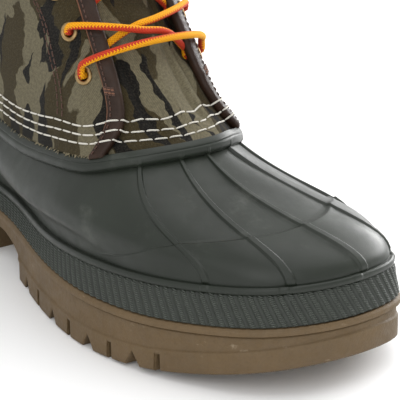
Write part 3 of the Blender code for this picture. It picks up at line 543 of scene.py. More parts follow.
def make_piece(name, patches, materials, replaced=(), uvs=None, middle=False, sharp=60, merged=True):
    """Put grids of points into one mesh, with a UV map, and let it ride on the boot.

    uvs has each patch's own UV, or is left out for lengths in metres. Patches that share an edge are merged,
    unless merged is false."""
    verts, quads, corner_uv, slots, start = [], [], [], [], 0
    for number, p in enumerate(patches):
        rings, around = p.points.shape[:2]
        j = np.arange(rings if p.stack else rings - 1)[:, None]
        i = np.arange(around if p.around else around - 1)[None, :]
        corners = [(j, i), (j, i + 1), (j + 1, i + 1), (j + 1, i)]
        if p.flip:
            corners = corners[::-1]
        uv = uvs[number] if uvs else patch_uv(p, middle)
        index = [((a % rings) * around + b % around).ravel() for a, b in corners]
        quads.append(np.stack(index, -1) + start)
        corner_uv.append(np.stack([uv[a, b].reshape(-1, 2) for a, b in corners], 1))
        slots.append(np.full(len(quads[-1]), p.slot))
        verts.append(p.points.reshape(-1, 3))
        start += rings * around
    thing = mesh_from(name, np.concatenate(verts), np.concatenate(quads), np.concatenate(corner_uv),
                      np.concatenate(slots), materials, replaced, sharp)
    if merged:
        merge_seams(thing)
    return thing


def merge_seams(thing):
    """Join patches that share an edge, and drop the faces that shrink to nothing at a heel or toe."""
    maker = bmesh.new()
    maker.from_mesh(thing.data)
    bmesh.ops.remove_doubles(maker, verts=maker.verts, dist=1e-6)
    bmesh.ops.dissolve_degenerate(maker, edges=maker.edges, dist=1e-7)
    bmesh.ops.recalc_face_normals(maker, faces=maker.faces)
    maker.to_mesh(thing.data)
    maker.free()
    thing.data.update()


def mesh_from(name, verts, quads, corner_uv, slots, materials, replaced=(), sharp=40):
    """A mesh from arrays: points, four corner numbers a face, a UV for each corner, and a material a face."""
    mesh = bpy.data.meshes.new(name)
    mesh.vertices.add(len(verts))
    mesh.vertices.foreach_set("co", standing(verts).astype(np.float32).ravel())
    mesh.loops.add(quads.size)
    mesh.loops.foreach_set("vertex_index", quads.astype(np.int32).ravel())
    mesh.polygons.add(len(quads))
    mesh.polygons.foreach_set("loop_start", np.arange(0, quads.size, 4, dtype=np.int32))
    mesh.polygons.foreach_set("material_index", slots.astype(np.int32))
    layer = mesh.uv_layers.new(name="UVMap")
    layer.data.foreach_set("uv", corner_uv.astype(np.float32).ravel())
    mesh.update(calc_edges=True)
    mesh.validate()
    mesh.shade_smooth()
    mesh.set_sharp_from_angle(angle=radians(sharp))
    for finish in materials:
        mesh.materials.append(finish)
    thing = bpy.data.objects.new(name, mesh)
    bpy.context.scene.collection.objects.link(thing)
    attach(thing, "root")
    if replaced:
        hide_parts(*replaced)
    return thing


def tubes(centres, sides, tops, radii, count):
    """Round bars: cos times side plus sin times top, round each point of each centre line.

    centres is bars by points by 3. The bars' ends are closed with strips of quads."""
    turns = np.linspace(0, 2 * pi, count, endpoint=False)
    radii = np.broadcast_to(radii, centres.shape[:2])
    around = np.cos(turns)[:, None] * sides[:, :, None, :] + np.sin(turns)[:, None] * tops[:, :, None, :]
    points = centres[:, :, None, :] + around * radii[:, :, None, None]
    bars, length = centres.shape[:2]
    j, i = np.meshgrid(np.arange(length - 1), np.arange(count), indexing="ij")
    k = (i + 1) % count
    ring, above = j * count, (j + 1) * count
    side_faces = np.stack([ring + i, ring + k, above + k, above + i], -1).reshape(-1, 4)
    half = np.arange(count // 2 - 1)
    cap = np.stack([half, half + 1, count - 2 - half, count - 1 - half], -1)
    one = np.concatenate([side_faces, cap[:, ::-1], cap + (length - 1) * count])
    quads = (one[None] + (np.arange(bars) * length * count)[:, None, None]).reshape(-1, 4)
    run = lengths_along(centres, 1, False)
    turn_u = np.stack([i, i + 1, i + 1, i], -1).reshape(-1, 4) / count
    along = np.stack([run[:, j], run[:, j], run[:, j + 1], run[:, j + 1]], -1).reshape(bars, -1, 4)
    wall = np.stack([along, np.broadcast_to(turn_u, along.shape)], -1)
    lids = np.zeros((bars, 2 * len(cap), 4, 2))
    lids[:, len(cap):, :, 0] = run[:, -1][:, None, None]
    uv = np.concatenate([wall, lids], 1).reshape(-1, 4, 2)
    return points.reshape(-1, 3), quads, uv


# Finishes

def srgb(code):
    """A colour's linear values from its six hex digits."""
    values = [int(code[k:k + 2], 16) / 255 for k in (0, 2, 4)]
    return tuple(v / 12.92 if v <= 0.04045 else ((v + 0.055) / 1.055) ** 2.4 for v in values)


class Finish:
    """One material: nodes from its coordinates to its Principled shader."""

    def __init__(self, name, coordinates="Object"):
        self.material = bpy.data.materials.new(name)
        self.material.use_nodes = True
        self.tree = self.material.node_tree
        self.shader = self.tree.nodes["Principled BSDF"]
        self.place = self.node("ShaderNodeTexCoord").outputs[coordinates]

    def node(self, kind, wires=None, **settings):
        made = self.tree.nodes.new(kind)
        for key, value in settings.items():
            setattr(made, key, value)
        for socket, value in (wires or {}).items():
            self.wire(made.inputs[socket], value)
        return made

    def wire(self, socket, value):
        if isinstance(value, bpy.types.NodeSocket):
            self.tree.links.new(value, socket)
        else:
            socket.default_value = value

    def set(self, **values):
        for key, value in values.items():
            self.wire(self.shader.inputs[key.replace("_", " ")], value)

    def maths(self, operation, first, second=0.0, third=0.0):
        return self.node("ShaderNodeMath", {0: first, 1: second, 2: third}, operation=operation).outputs[0]

    def wave(self, turns):
        """Sine of a number of whole turns."""
        return self.maths("SINE", self.maths("MULTIPLY", turns, 2 * pi))

    def noise(self, scale, detail=2.0, rough=0.5, distortion=0.0, vector=None, colour=False):
        wires = {"Vector": vector or self.place, "Scale": scale, "Detail": detail, "Roughness": rough,
                 "Distortion": distortion}
        made = self.node("ShaderNodeTexNoise", wires)
        return made.outputs["Color" if colour else "Fac"]

    def cells(self, scale, vector=None):
        made = self.node("ShaderNodeTexVoronoi", {"Vector": vector or self.place, "Scale": scale})
        return made.outputs["Distance"]

    def stretch(self, scale, turn=(0, 0, 0), vector=None, location=(0, 0, 0)):
        wires = {"Vector": vector or self.place, "Scale": scale, "Rotation": turn, "Location": location}
        return self.node("ShaderNodeMapping", wires).outputs[0]

    def ramp(self, value, low, high, to_low=0.0, to_high=1.0):
        made = self.node("ShaderNodeMapRange", {"Value": value, "From Min": low, "From Max": high,
                                                "To Min": to_low, "To Max": to_high},
                         interpolation_type="SMOOTHSTEP")
        return made.outputs[0]

    def mix(self, share, first, second):
        made = self.node("ShaderNodeMix", data_type="RGBA")
        self.wire(made.inputs[0], share)
        self.wire(made.inputs[6], first if isinstance(first, bpy.types.NodeSocket) else (*first, 1.0))
        self.wire(made.inputs[7], second if isinstance(second, bpy.types.NodeSocket) else (*second, 1.0))
        return made.outputs[2]

    def bump(self, height, strength, distance, normal=None):
        wires = {"Height": height, "Strength": strength, "Distance": distance}
        if normal is not None:
            wires["Normal"] = normal
        return self.node("ShaderNodeBump", wires).outputs[0]

    def split(self, vector=None):
        made = self.node("ShaderNodeSeparateXYZ", {0: vector or self.place})
        return made.outputs[0], made.outputs[1]


def shade(colour, share):
    """A colour times a share."""
    return tuple(value * share for value in colour)


def rubber_finish(look):
    """Satin moulded rubber: slow changes of tone, a fine grain and a little dust in broad patches."""
    f = Finish("green rubber")
    tone = f.ramp(f.noise(26, 3, 0.6), 0.3, 0.7)
    base = f.mix(tone, shade(look.rubber, 0.86), shade(look.rubber, 1.14))
    dust = f.ramp(f.noise(55, 6, 0.7), 0.55, 0.8, 0.0, 0.16)
    smooth, rough = look.rubber_roughness - 0.05, look.rubber_roughness + 0.07
    f.set(Base_Color=f.mix(dust, base, srgb("80827a")),
          Roughness=f.ramp(f.noise(180, 4, 0.6), 0.25, 0.75, smooth, rough), Specular_IOR_Level=0.32)
    grain = f.bump(f.noise(2600, 2, 0.5), 0.10, 0.0002)
    f.set(Normal=f.bump(f.noise(38, 2, 0.5), 0.10, 0.003, grain), Coat_Weight=0.05, Coat_Roughness=0.32)
    return f.material


def knurl_finish(look):
    """The foxing's rubber: rope-like teeth cut across each moulded rib, with painted shade in the grooves and
    a painted highlight on the teeth.

    The UV map counts ribs along U and millimetres up V."""
    f = Finish("knurled green rubber", "UV")
    along, up = f.split()
    phase = f.maths("FRACT", along)
    crest = f.maths("MULTIPLY", f.ramp(phase, 0.28, 0.40), f.ramp(phase, 0.96, 0.80))
    slant = f.maths("ADD", f.maths("MULTIPLY", up, 1.2), f.maths("MULTIPLY", phase, 1.6))
    tooth = f.maths("MULTIPLY_ADD", f.wave(slant), 0.5, 0.5)
    height = f.maths("MULTIPLY", crest, tooth)
    grain = f.noise(3, 3, 0.6)
    base = f.mix(f.ramp(f.noise(0.35, 3, 0.6), 0.3, 0.7), shade(look.rubber, 0.95), shade(look.rubber, 1.3))
    # Painted shade: the groove between ribs is darkened towards a dark copy of the rubber
    groove_shade = f.maths("MULTIPLY", f.ramp(phase, 0.16, 0.0), 0.6)
    # Painted highlight: the teeth are lightened by their height
    teeth_highlight = f.mix(f.maths("MULTIPLY", height, 0.5), base, srgb("6f756d"))
    f.set(Base_Color=f.mix(groove_shade, teeth_highlight, shade(look.rubber, 0.4)),
          Roughness=f.ramp(grain, 0.3, 0.7, 0.46, 0.60),
          Normal=f.bump(f.maths("ADD", height, f.maths("MULTIPLY", grain, 0.2)), 1.0, 0.0005))
    return f.material


def gum_finish(look):
    """Matt gum rubber: a pebbled skin, paler scuffs and darker specks of dirt."""
    f = Finish("gum rubber")
    tone = f.ramp(f.noise(32, 4, 0.6), 0.3, 0.7)
    base = f.mix(tone, shade(look.gum, 0.88), shade(look.gum, 1.12))
    speck = f.ramp(f.noise(900, 2, 0.6), 0.45, 0.75, 0.0, 0.28)
    base = f.mix(speck, base, shade(look.gum, 0.62))
    scuff = f.maths("MULTIPLY", f.ramp(f.noise(75, 5, 0.7, vector=f.stretch((1, 1, 3.2))), 0.60, 0.74),
                    f.ramp(f.noise(420, 3, 0.6), 0.42, 0.62))
    f.set(Base_Color=f.mix(f.maths("MULTIPLY", scuff, 0.35), base, srgb("b3a48c")),
          Roughness=f.ramp(f.noise(260, 3, 0.6), 0.3, 0.7, 0.58, 0.72))
    pebble = f.bump(f.cells(1350), 0.32, 0.00032)
    f.set(Normal=f.bump(f.noise(620, 4, 0.6), 0.35, 0.0005, pebble))
    return f.material


def print_colours(f, look, place):
    """Wavy camouflage: long blotches of khaki and olive, and charcoal bands that swell, thin and break."""
    wobble = f.noise(55, 3, 0.55, vector=place, colour=True)
    pulled = f.node("ShaderNodeVectorMath", {0: wobble, 1: (0.5, 0.5, 0.5)}, operation="SUBTRACT").outputs[0]
    pushed = f.node("ShaderNodeVectorMath", {0: pulled, "Scale": 0.016}, operation="SCALE").outputs[0]
    bent = f.node("ShaderNodeVectorMath", {0: place, 1: pushed}, operation="ADD").outputs[0]
    blotches = f.stretch((62, 19, 1), (0, 0, radians(-20)), bent)
    ground_field = f.noise(1.0, 1.5, 0.4, 0.2, vector=blotches)
    bands = f.stretch((78, 15, 1), (0, 0, radians(-16)), bent, (3.1, 5.7, 0))
    band_field = f.noise(1.0, 1.2, 0.4, 0.3, vector=bands)
    breaks = f.stretch((50, 26, 1), (0, 0, radians(-16)), place, (7.3, 1.9, 0))
    life = f.noise(1.0, 2.0, 0.5, vector=breaks)
    olive = f.ramp(ground_field, 0.500, 0.508)
    width = f.ramp(life, 0.38, 0.62, -0.03, 0.085)
    away = f.maths("ABSOLUTE", f.maths("SUBTRACT", band_field, 0.5))
    dark = f.ramp(f.maths("SUBTRACT", width, away), -0.003, 0.004)
    ground = f.mix(olive, look.khaki, look.olive)
    return f.mix(dark, ground, look.charcoal)


def cloth_grain(f):
    """Plain weave: two crossed sets of threads in metres of cloth, a little uneven."""
    along, up = f.split()
    uneven = f.maths("MULTIPLY", f.noise(700, 2, 0.5), 2.6)
    warp = f.maths("SINE", f.maths("ADD", f.maths("MULTIPLY", along, 2 * pi / WARP_PITCH), uneven))
    weft = f.maths("SINE", f.maths("ADD", f.maths("MULTIPLY", up, 2 * pi / WEFT_PITCH), uneven))
    weave = f.maths("MULTIPLY_ADD", f.maths("MULTIPLY", warp, weft), 0.5, 0.5)
    soft = f.bump(f.noise(150, 4, 0.6), 0.25, 0.0012)
    return weave, f.bump(weave, 0.6, 0.00028, soft)


def canvas_finish(look):
    """Printed canvas: the camouflage, mottled thread by thread, with a matt nap."""
    f = Finish("camouflage canvas", "UV")
    printed = print_colours(f, look, f.place)
    weave, normal = cloth_grain(f)
    fleck = f.ramp(f.noise(1300, 3, 0.7), 0.45, 0.72, 0.0, 0.14)
    mottle = f.ramp(f.noise(800, 4, 0.75), 0.38, 0.62, 0.30, 0.0)
    worn = f.mix(mottle, f.mix(fleck, printed, srgb("8d8770")), srgb("1d1a16"))
    shadow = f.maths("MULTIPLY", f.ramp(weave, 0.7, 0.0), 0.5)
    f.set(Base_Color=f.mix(shadow, worn, srgb("1d1a16")), Roughness=0.93, Normal=normal,
          Sheen_Weight=0.03, Sheen_Roughness=0.6, Specular_IOR_Level=0.15)
    return f.material


def backing_finish(look):
    """The canvas's unprinted back: plain khaki weave."""
    f = Finish("canvas back", "UV")
    weave, normal = cloth_grain(f)
    tone = f.ramp(f.noise(60, 4, 0.6), 0.3, 0.7)
    base = f.mix(tone, shade(look.khaki, 0.80), shade(look.khaki, 1.0))
    f.set(Base_Color=f.mix(f.maths("MULTIPLY", weave, 0.3), base, shade(look.khaki, 0.5)), Roughness=0.95,
          Normal=normal)
    return f.material


def leather_finish(look):
    """Dark brown leather: fine grain, paler rub marks, satin."""
    f = Finish("brown leather")
    tone = f.ramp(f.noise(120, 4, 0.6), 0.3, 0.75)
    base = f.mix(tone, shade(look.leather, 0.82), shade(look.leather, 1.35))
    pores = f.bump(f.cells(1500), 0.35, 0.0002)
    f.set(Base_Color=base, Roughness=f.ramp(f.noise(400, 4, 0.6), 0.3, 0.7, 0.38, 0.55),
          Specular_IOR_Level=0.22, Normal=f.bump(f.noise(480, 5, 0.6), 0.45, 0.0004, pores))
    return f.material


def raw_edge_finish(look):
    """The leather's cut edge: tan, rough, streaked."""
    f = Finish("raw leather edge")
    f.set(Base_Color=f.mix(f.ramp(f.noise(600, 4, 0.7), 0.3, 0.7), shade(look.raw_edge, 0.6), look.raw_edge),
          Roughness=0.85, Normal=f.bump(f.noise(1400, 3, 0.6), 0.5, 0.0003))
    return f.material


def brass_finish(look):
    """Antique brass: brushed by wear, darker in patches."""
    f = Finish("antique brass")
    tarnish = f.ramp(f.noise(420, 4, 0.6), 0.42, 0.72)
    f.set(Base_Color=f.mix(tarnish, look.brass, shade(look.brass, 0.55)), Metallic=1.0,
          Roughness=f.ramp(f.noise(900, 3, 0.6), 0.3, 0.7, 0.28, 0.45),
          Normal=f.bump(f.noise(1300, 3, 0.5), 0.12, 0.0002))
    return f.material


def lace_finish(look):
    """Round braid in two colours: each half of the cord one colour, with a toothed border, and plaited
    strands with painted shade in the hollows between them.

    U is the length along the lace in metres from the middle of its lowest bar, and V its share of a turn."""
    f = Finish("yellow and red cord", "UV")
    along, turn = f.split()
    teeth = f.maths("PINGPONG", f.maths("MULTIPLY", along, 1 / BRAID_PITCH), 0.5)
    twisted = f.maths("MULTIPLY_ADD", along, LACE_TWIST, LACE_PHASE)
    border = f.maths("ADD", f.maths("ADD", turn, twisted), f.maths("MULTIPLY", teeth, TOOTH_DEPTH))
    half = f.maths("GREATER_THAN", f.maths("FRACT", border), 0.5)
    strand = f.maths("MULTIPLY", along, 1 / BRAID_PITCH)
    left, right = [f.wave(f.maths(way, strand, f.maths("MULTIPLY", turn, BRAID_STRANDS)))
                   for way in ("ADD", "SUBTRACT")]
    plait = f.maths("MAXIMUM", left, right)
    base = f.mix(half, look.lace_yellow, look.lace_red)
    # Painted shade: dark copies of both colours, mixed in where the plait is low, between the strands
    deep = f.mix(half, shade(look.lace_yellow, 0.5), shade(look.lace_red, 0.45))
    f.set(Base_Color=f.mix(f.ramp(plait, 0.45, -0.35, 0.0, 0.5), base, deep), Roughness=0.7,
          Specular_IOR_Level=0.25)
    fine = f.bump(f.noise(2400, 2, 0.6), 0.2, 0.0001)
    f.set(Normal=f.bump(plait, 0.8, 0.00025, fine))
    return f.material


def thread_finish(name, colour):
    """Twisted sewing thread: a fine slanted ply along the stitch, with painted shade in the grooves between
    the plies.
    """
    f = Finish(name, "UV")
    along, turn = f.split()
    ply = f.wave(f.maths("ADD", f.maths("MULTIPLY", along, 1 / PLY_PITCH), turn))
    # Painted shade: the colour is darkened where the ply is low, in the grooves of the twist
    f.set(Base_Color=f.mix(f.ramp(ply, -1, 0.2, 0.35, 0.0), colour, shade(colour, 0.55)), Roughness=0.75,
          Normal=f.bump(ply, 0.5, 0.0001), Sheen_Weight=0.2)
    return f.material


def felt_finish():
    """Grey-brown felt: matt, fibrous, uneven."""
    f = Finish("felt")
    tone = f.ramp(f.noise(240, 5, 0.7), 0.3, 0.7)
    f.set(Base_Color=f.mix(tone, srgb("6d675d"), srgb("857e70")), Roughness=0.97,
          Normal=f.bump(f.noise(1700, 4, 0.7), 0.6, 0.0005))
    return f.material


# Rubber bottom

def row_length(row):
    """Length of one row half way up the instep."""
    step = 0.1
    ends = instep(np.array([row - step, row + step]), np.array([0.5, 0.5]))
    return np.linalg.norm(ends[1] - ends[0]) / (2 * step)


RIB_LENGTHS = [row_length(rib.row) for rib in RIBS]


def fanned(rows, rise):
    """Rows shifted so that the ribs swing round the toe on their way down."""
    still = (RIBS[0].row - 2, RIBS[-1].row + 2)
    swing = np.interp(rows, [still[0]] + [rib.row for rib in RIBS] + [still[1]],
                      [0] + [rib.swing for rib in RIBS] + [0])
    return rows + swing * (1 - rise)


def rib_share(rows):
    """1 on a rib's flat top, falling smoothly to 0 down its flanks."""
    share = np.zeros_like(rows)
    for rib, length in zip(RIBS, RIB_LENGTHS):
        away = np.abs(rows - rib.row) * length
        share = np.maximum(share, smoothstep(RIB_WIDTH / 2 + RIB_FLANK, RIB_WIDTH / 2 - 0.2 * MM, away))
    return share


def cap_rise(rows):
    """How far up the toe cap's step lies: straight lines between its points."""
    return np.interp(rows, [point.row for point in TOE_CAP], [point.rise for point in TOE_CAP])


def cap_share(rows):
    """1 along the toe cap's step, dying out over its first and last 0.8 row."""
    first, last = TOE_CAP[0].row, TOE_CAP[-1].row
    return smoothstep(first, first + 0.8, rows) * smoothstep(last, last - 0.8, rows)


def rubber_rows():
    """Rows of the rubber's columns of points: evenly spaced, and close together across each rib."""
    lines = even_rows(2.3 * MM)
    across = np.array([0, 0.45, 0.8, 1.0, 1.15, 1.3, 1.45, 1.6, 1.75, 1.9, 2.2, 2.8]) * MM
    close = []
    for rib, length in zip(RIBS, RIB_LENGTHS):
        lines = lines[np.abs(lines - rib.row) * length > across[-1] + 0.6 * MM]
        close += [rib.row + side * across / length for side in (1, -1)]
    return np.unique(np.round(np.concatenate([lines] + close), 6))


def lap_row(places):
    """Row of the tongue's lateral edge: a lap's length behind the throat's edge."""
    return throat_row(places) - TONGUE_LAP / row_width(places)


def tongue_room(rows):
    """Extra depth that the rubber's flange leaves for the tongue at the front."""
    reach = lap_row(np.array([0.0]))[0] - 1.1
    share = smoothstep(reach - 0.8, reach, rows) * smoothstep(ROUND - reach + 0.8, ROUND - reach, rows)
    return (TONGUE_WALL + 3 * GAP) * share


# Sections in millimetres and shares, from the bottom up. The bead: distance in from the foxing's line, and
# height over the foxing's top. The rises are shares of the way up the instep and up the roll
BEAD = ((1.0, -3.1), (-0.05, -3.0), (-0.45, -2.6), (-0.66, -1.9), (-0.62, -1.2), (-0.36, -0.55),
        (0.10, -0.18), (0.60, -0.04), (1.0, -0.10))
UNDER_CAP = np.array([0.004, 0.04, 0.10, 0.19, 0.30, 0.42, 0.54, 0.66, 0.77, 0.87, 0.95])
ACROSS_CAP = np.array([-1, -0.6, -0.35, -0.12, 0.12, 0.35, 0.6, 1])
OVER_CAP = np.array([0.05, 0.11, 0.18, 0.25, 0.32, 0.39, 0.46, 0.53, 0.60, 0.67, 0.74, 0.81, 0.87, 0.93, 0.97,
                     1.0])
UP_ROLL = (0.03, 0.08, 0.15, 0.24, 0.34, 0.45, 0.55, 0.62, 0.655, 0.68, 0.705, 0.74, 0.80, 0.87, 0.94, 0.99)
DOWN_INSIDE = (0.95, 0.84, 0.74, 0.63, 0.52, 0.42, 0.32, 0.22, 0.12, 0.04)


def rubber_outside(rows):
    """Rings up the outside: the foxing's bed, its bead, the ribbed instep with the toe cap's step, the rolled
    collar with its fine crease, and the flange behind the canvas.

    The instep's relief is the sum of the step, a bell-shaped ridge along it, the ribs and two crossed sines.
    The roll's swell is 1 less a power of the distance from its middle, less a bell for the crease."""
    tall = foxing_height(rows)
    flat = 0 * rows
    rib = rib_share(rows)
    rings = [foot_edge(rows, flat + 1.0 * MM, flat + GAP),
             foot_edge(rows, flat + FOXING_LEAN * 0.45 + 1.0 * MM, tall * 0.5)]
    for inward, drop in BEAD:
        inset = FOXING_TILT + inward * MM - 0.30 * MM * rib
        rings.append(foot_edge(rows, inset, tall + drop * MM + 0.2 * MM * rib))
    cap = cap_rise(rows)
    low = (cap - CAP_EDGE) * UNDER_CAP[:, None]
    edge = cap + CAP_EDGE * ACROSS_CAP[:, None]
    high = cap + CAP_EDGE + (1 - cap - CAP_EDGE) * OVER_CAP[:, None]
    rise = np.concatenate([low, edge, high])
    lines = np.broadcast_to(rows, rise.shape)
    ribs, capped = rib_share(lines), cap_share(lines)
    step = CAP_STEP * capped * smoothstep(cap + CAP_EDGE, cap - CAP_EDGE, rise)
    ridge = 0.22 * MM * capped * np.exp(-((rise - cap + 0.4 * CAP_EDGE) / (0.9 * CAP_EDGE)) ** 2)
    rib_rise = RIB_HEIGHT * ribs * smoothstep(-0.02, 0.05, rise)
    waves = 0.35 * MM * np.sin(lines * 2.1 + 4 * rise) * np.sin(7 * rise + 0.8 * lines) * (1 - ribs)
    line = fanned(lines, rise)
    relief = step + ridge + rib_rise + waves * smoothstep(0, 0.2, rise) * smoothstep(1, 0.85, rise)
    rings += list(instep(line, rise) + normals(instep, line, rise) * relief[..., None])
    out = outward(COLLAR_LINE, rows)
    collar = COLLAR_LINE(rows)
    for t in UP_ROLL:
        swell = ROLL_SWELL * (1 - abs(2 * t - 1) ** 2.4) + 0.35 * MM * rib * smoothstep(0.75, 0.0, t)
        swell = swell - 0.34 * MM * np.exp(-((t - 0.68) / 0.032) ** 2)
        rings.append(collar + out * (swell - ROLL_SETBACK * t)[:, None] + UP * ROLL_HEIGHT * t)
    rings.append(canvas_foot(rows) + out * LEDGE_LIP - UP * 2 * GAP)
    depth = CANVAS_WALL + 2 * GAP + tongue_room(rows)
    rings.append(shaft_layer(rows, flat, depth) - UP * 2 * GAP)
    for place in edge_places(FLANGE_HEIGHT * np.array([0.33, 0.66, 1.0])):
        rings.append(shaft_layer(rows, flat + place, depth))
    return np.array(rings)


def rubber_inside(rows):
    """Rings down the inside, from the flange's top to the margin that is turned in under the insole."""
    flat = 0 * rows
    depth = CANVAS_WALL + 2 * GAP + tongue_room(rows) + FLANGE_WALL
    places = edge_places(FLANGE_HEIGHT * np.array([1.0, 0.5, 0]))
    rings = [shaft_layer(rows, flat + place, depth) for place in places]
    for rise in DOWN_INSIDE:
        rings.append(instep(rows, flat + rise) - normals(instep, rows, flat + rise) * RUBBER_WALL)
    under, floor = FOXING_LEAN + FOXING_STEP + RUBBER_WALL, flat + GAP + MARGIN_WALL
    rings.append(foot_edge(rows, flat + under, floor + MARGIN_FILLET))
    rings.append(foot_edge(rows, flat + under + MARGIN_FILLET, floor))
    rings.append(foot_edge(rows, flat + under + MARGIN_WIDTH, floor))
    rings.append(foot_edge(rows, flat + under + MARGIN_WIDTH, flat + GAP))
    return np.array(rings)


def make_rubber_bottom(look):
    """The moulded upper: its outside rings and its inside rings, closed into one wall."""
    rows = rubber_rows()
    grid = np.concatenate([rubber_outside(rows), rubber_inside(rows)])
    make_piece("rubber_bottom", [patch(grid, around=True, stack=True)], [rubber_finish(look)],
               ("shell",), merged=False)


def make_foxing(look, knurl_depth, knurl_pitch):
    """The knurled band: slanted ribs, each a skewed cosine across, that fade at the band's two edges."""
    per_rib = 8
    count = len(even_rows(knurl_pitch))
    rows = even_rows(knurl_pitch / per_rib)[:count * per_rib]
    number = np.arange(len(rows)) / per_rib
    share = [[0.0, 0.012, 0.035, 0.07], np.linspace(0.12, 0.88, 10), [0.93, 0.965, 0.988, 1.0]]
    share = np.concatenate(share)[:, None]
    tall = foxing_height(rows)[None, :] - BEAD_HEIGHT
    lean = 6.6 * MM / knurl_pitch
    shifted = number[None, :] + lean * (share - 0.5)
    crest = 0.5 - 0.5 * np.cos(2 * pi * np.mod(shifted, 1.0) ** 1.35)
    crest = crest * smoothstep(0.0, 0.05, share) * smoothstep(1.0, 0.94, share)
    over = rib_share(np.broadcast_to(rows, crest.shape)) * smoothstep(0.35, 1.0, share)
    inset = FOXING_TILT * share + 0.42 * MM - knurl_depth * crest - 0.35 * MM * over
    inset = inset + 0.5 * MM * smoothstep(0.03, 0.0, share) + 0.4 * MM * smoothstep(0.975, 1.0, share)
    lift = GAP + 0.45 * MM * (1 - crest) * smoothstep(0.04, 0.0, share) + (tall - GAP) * share
    lines = np.broadcast_to(rows, inset.shape)
    outer = foot_edge(lines, inset, lift)
    wall = 1.2 * MM
    inner = np.array([foot_edge(rows, FOXING_TILT + wall + 0 * rows, tall[0]),
                      foot_edge(rows, wall + 0 * rows, GAP + 0 * rows)])
    grid = np.concatenate([outer, inner])
    u = np.concatenate([shifted, shifted[-1:], shifted[:1], shifted[:1]])
    u = np.concatenate([u, u[:, :1] + count], axis=1)
    v = np.concatenate([share * tall / MM, 0 * tall, 0 * tall, 0 * tall])
    v = np.concatenate([v, v[:, :1]], axis=1)
    make_piece("foxing_band", [patch(grid, around=True, stack=True)], [knurl_finish(look)],
               uvs=[np.stack([u, v], -1)], sharp=70, merged=False)


# Outsole

def boxed(x, middle, half, edge):
    """1 within half of the middle, 0 beyond it by an edge."""
    return smoothstep(half + edge, half, np.abs(x - middle))


def tread_lift(x):
    """How far the tread is cut up from side to side: the higher of the lug channels and the arch."""
    cuts = [CHANNEL_DEPTH * boxed(x, middle, CHANNEL_HALF, 0.25 * MM) for middle in CHANNELS]
    return np.maximum.reduce(cuts + [arch_lift(x)])


def notch_lift(x):
    """Height of the V notches at the sides: a tent over each notch's middle."""
    cuts = [NOTCH_HEIGHT * np.clip(1 - np.abs(x - middle) / NOTCH_HALF, 0, 1) for middle in NOTCHES]
    return np.maximum.reduce(cuts)


def arch_lift(x):
    """Height of the arch: a share of its height by straight lines between shares of its length."""
    along = (x - HEEL_LENGTH) / ARCH_LENGTH
    vault = ARCH_HEIGHT * np.interp(along, (0.0, 0.083, 0.3, 0.45, 0.7, 0.88, 1.0),
                                    (0.85, 1.0, 1.0, 0.977, 0.837, 0.656, 0.5))
    return vault * smoothstep(HEEL_LENGTH - 0.3 * MM, HEEL_LENGTH, x) * smoothstep(
        HEEL_LENGTH + ARCH_LENGTH + 0.3 * MM, HEEL_LENGTH + ARCH_LENGTH, x)


def sole_rows():
    """Rows from heel to toe where the sole has a column of points: even, and close at each cut."""
    fine = np.linspace(0, TOE_ROW, 6001)
    x = FOOT_LINE(fine)[:, 0]
    stations = list(np.arange(2.2, LENGTH / MM - 1, 2.2) * MM)
    marks = []
    for middle in CHANNELS:
        marks += [middle + side * (CHANNEL_HALF + edge) for side in (-1, 1)
                  for edge in (-0.5 * MM, -0.02 * MM, 0.13 * MM, 0.27 * MM, 0.8 * MM)]
    for middle in NOTCHES:
        marks += [middle + away * MM for away in (-5, -3.95, -3.85, -2, -0.1, 0.1, 2, 3.85, 3.95, 5)]
    for edge in (HEEL_LENGTH, HEEL_LENGTH + ARCH_LENGTH):
        marks += [edge + away * MM for away in (-0.8, -0.31, -0.15, 0, 0.15, 0.31, 0.8)]
    marks = np.array(marks)
    stations = [s for s in stations if np.abs(marks - s).min() > 0.7 * MM]
    inside = np.interp(np.sort(np.concatenate([stations, marks])), x, fine)
    ends = np.linspace(0, inside[0], 9)[:-1], np.linspace(inside[-1], TOE_ROW, 12)[1:]
    return np.concatenate([ends[0], inside, ends[1]])


def wall_offset(height, below_top):
    """How far the sole's side stands out, from the height over its foot and the depth under its top: the sum
    of a chamfer, the step over the lugs, the rounded lip and a bell-shaped groove under it."""
    chamfer = -0.9 * MM * (1 - np.clip(height / (1.0 * MM), 0, 1)) ** 2
    lug = -LUG_STEP * smoothstep(LUG_HEIGHT - 0.1 * MM, LUG_HEIGHT + 0.8 * MM, height)
    lip = (LUG_STEP + LIP_SWELL) * smoothstep(LIP_HEIGHT + 0.1 * MM, LIP_HEIGHT - LIP_FALL, below_top)
    lip = lip - (0.55 * LIP_SWELL + 0.4 * MM) * smoothstep(1.3 * MM, 0.0, below_top) ** 1.5
    groove = -0.55 * MM * np.exp(-((below_top - LIP_HEIGHT - 0.15 * MM) / (0.32 * MM)) ** 2)
    return chamfer + lug + lip + groove


def whole_rows(half):
    """Rows all the way round, from the lateral side's own."""
    return np.concatenate([half, ROUND - half[1:-1][::-1]])


def two_sides(ring, count):
    """A whole ring's lateral and medial sides, each of a number of points from heel to toe."""
    return ring[:count], np.concatenate([ring[:1], ring[count:][::-1], ring[count - 1:count]])


def lid(ring, count, columns):
    """A ring filled by straight lines from its lateral to its medial side."""
    lateral, medial = two_sides(ring, count)
    return lateral[:, None] + (medial - lateral)[:, None] * np.linspace(0, 1, columns)[None, :, None]


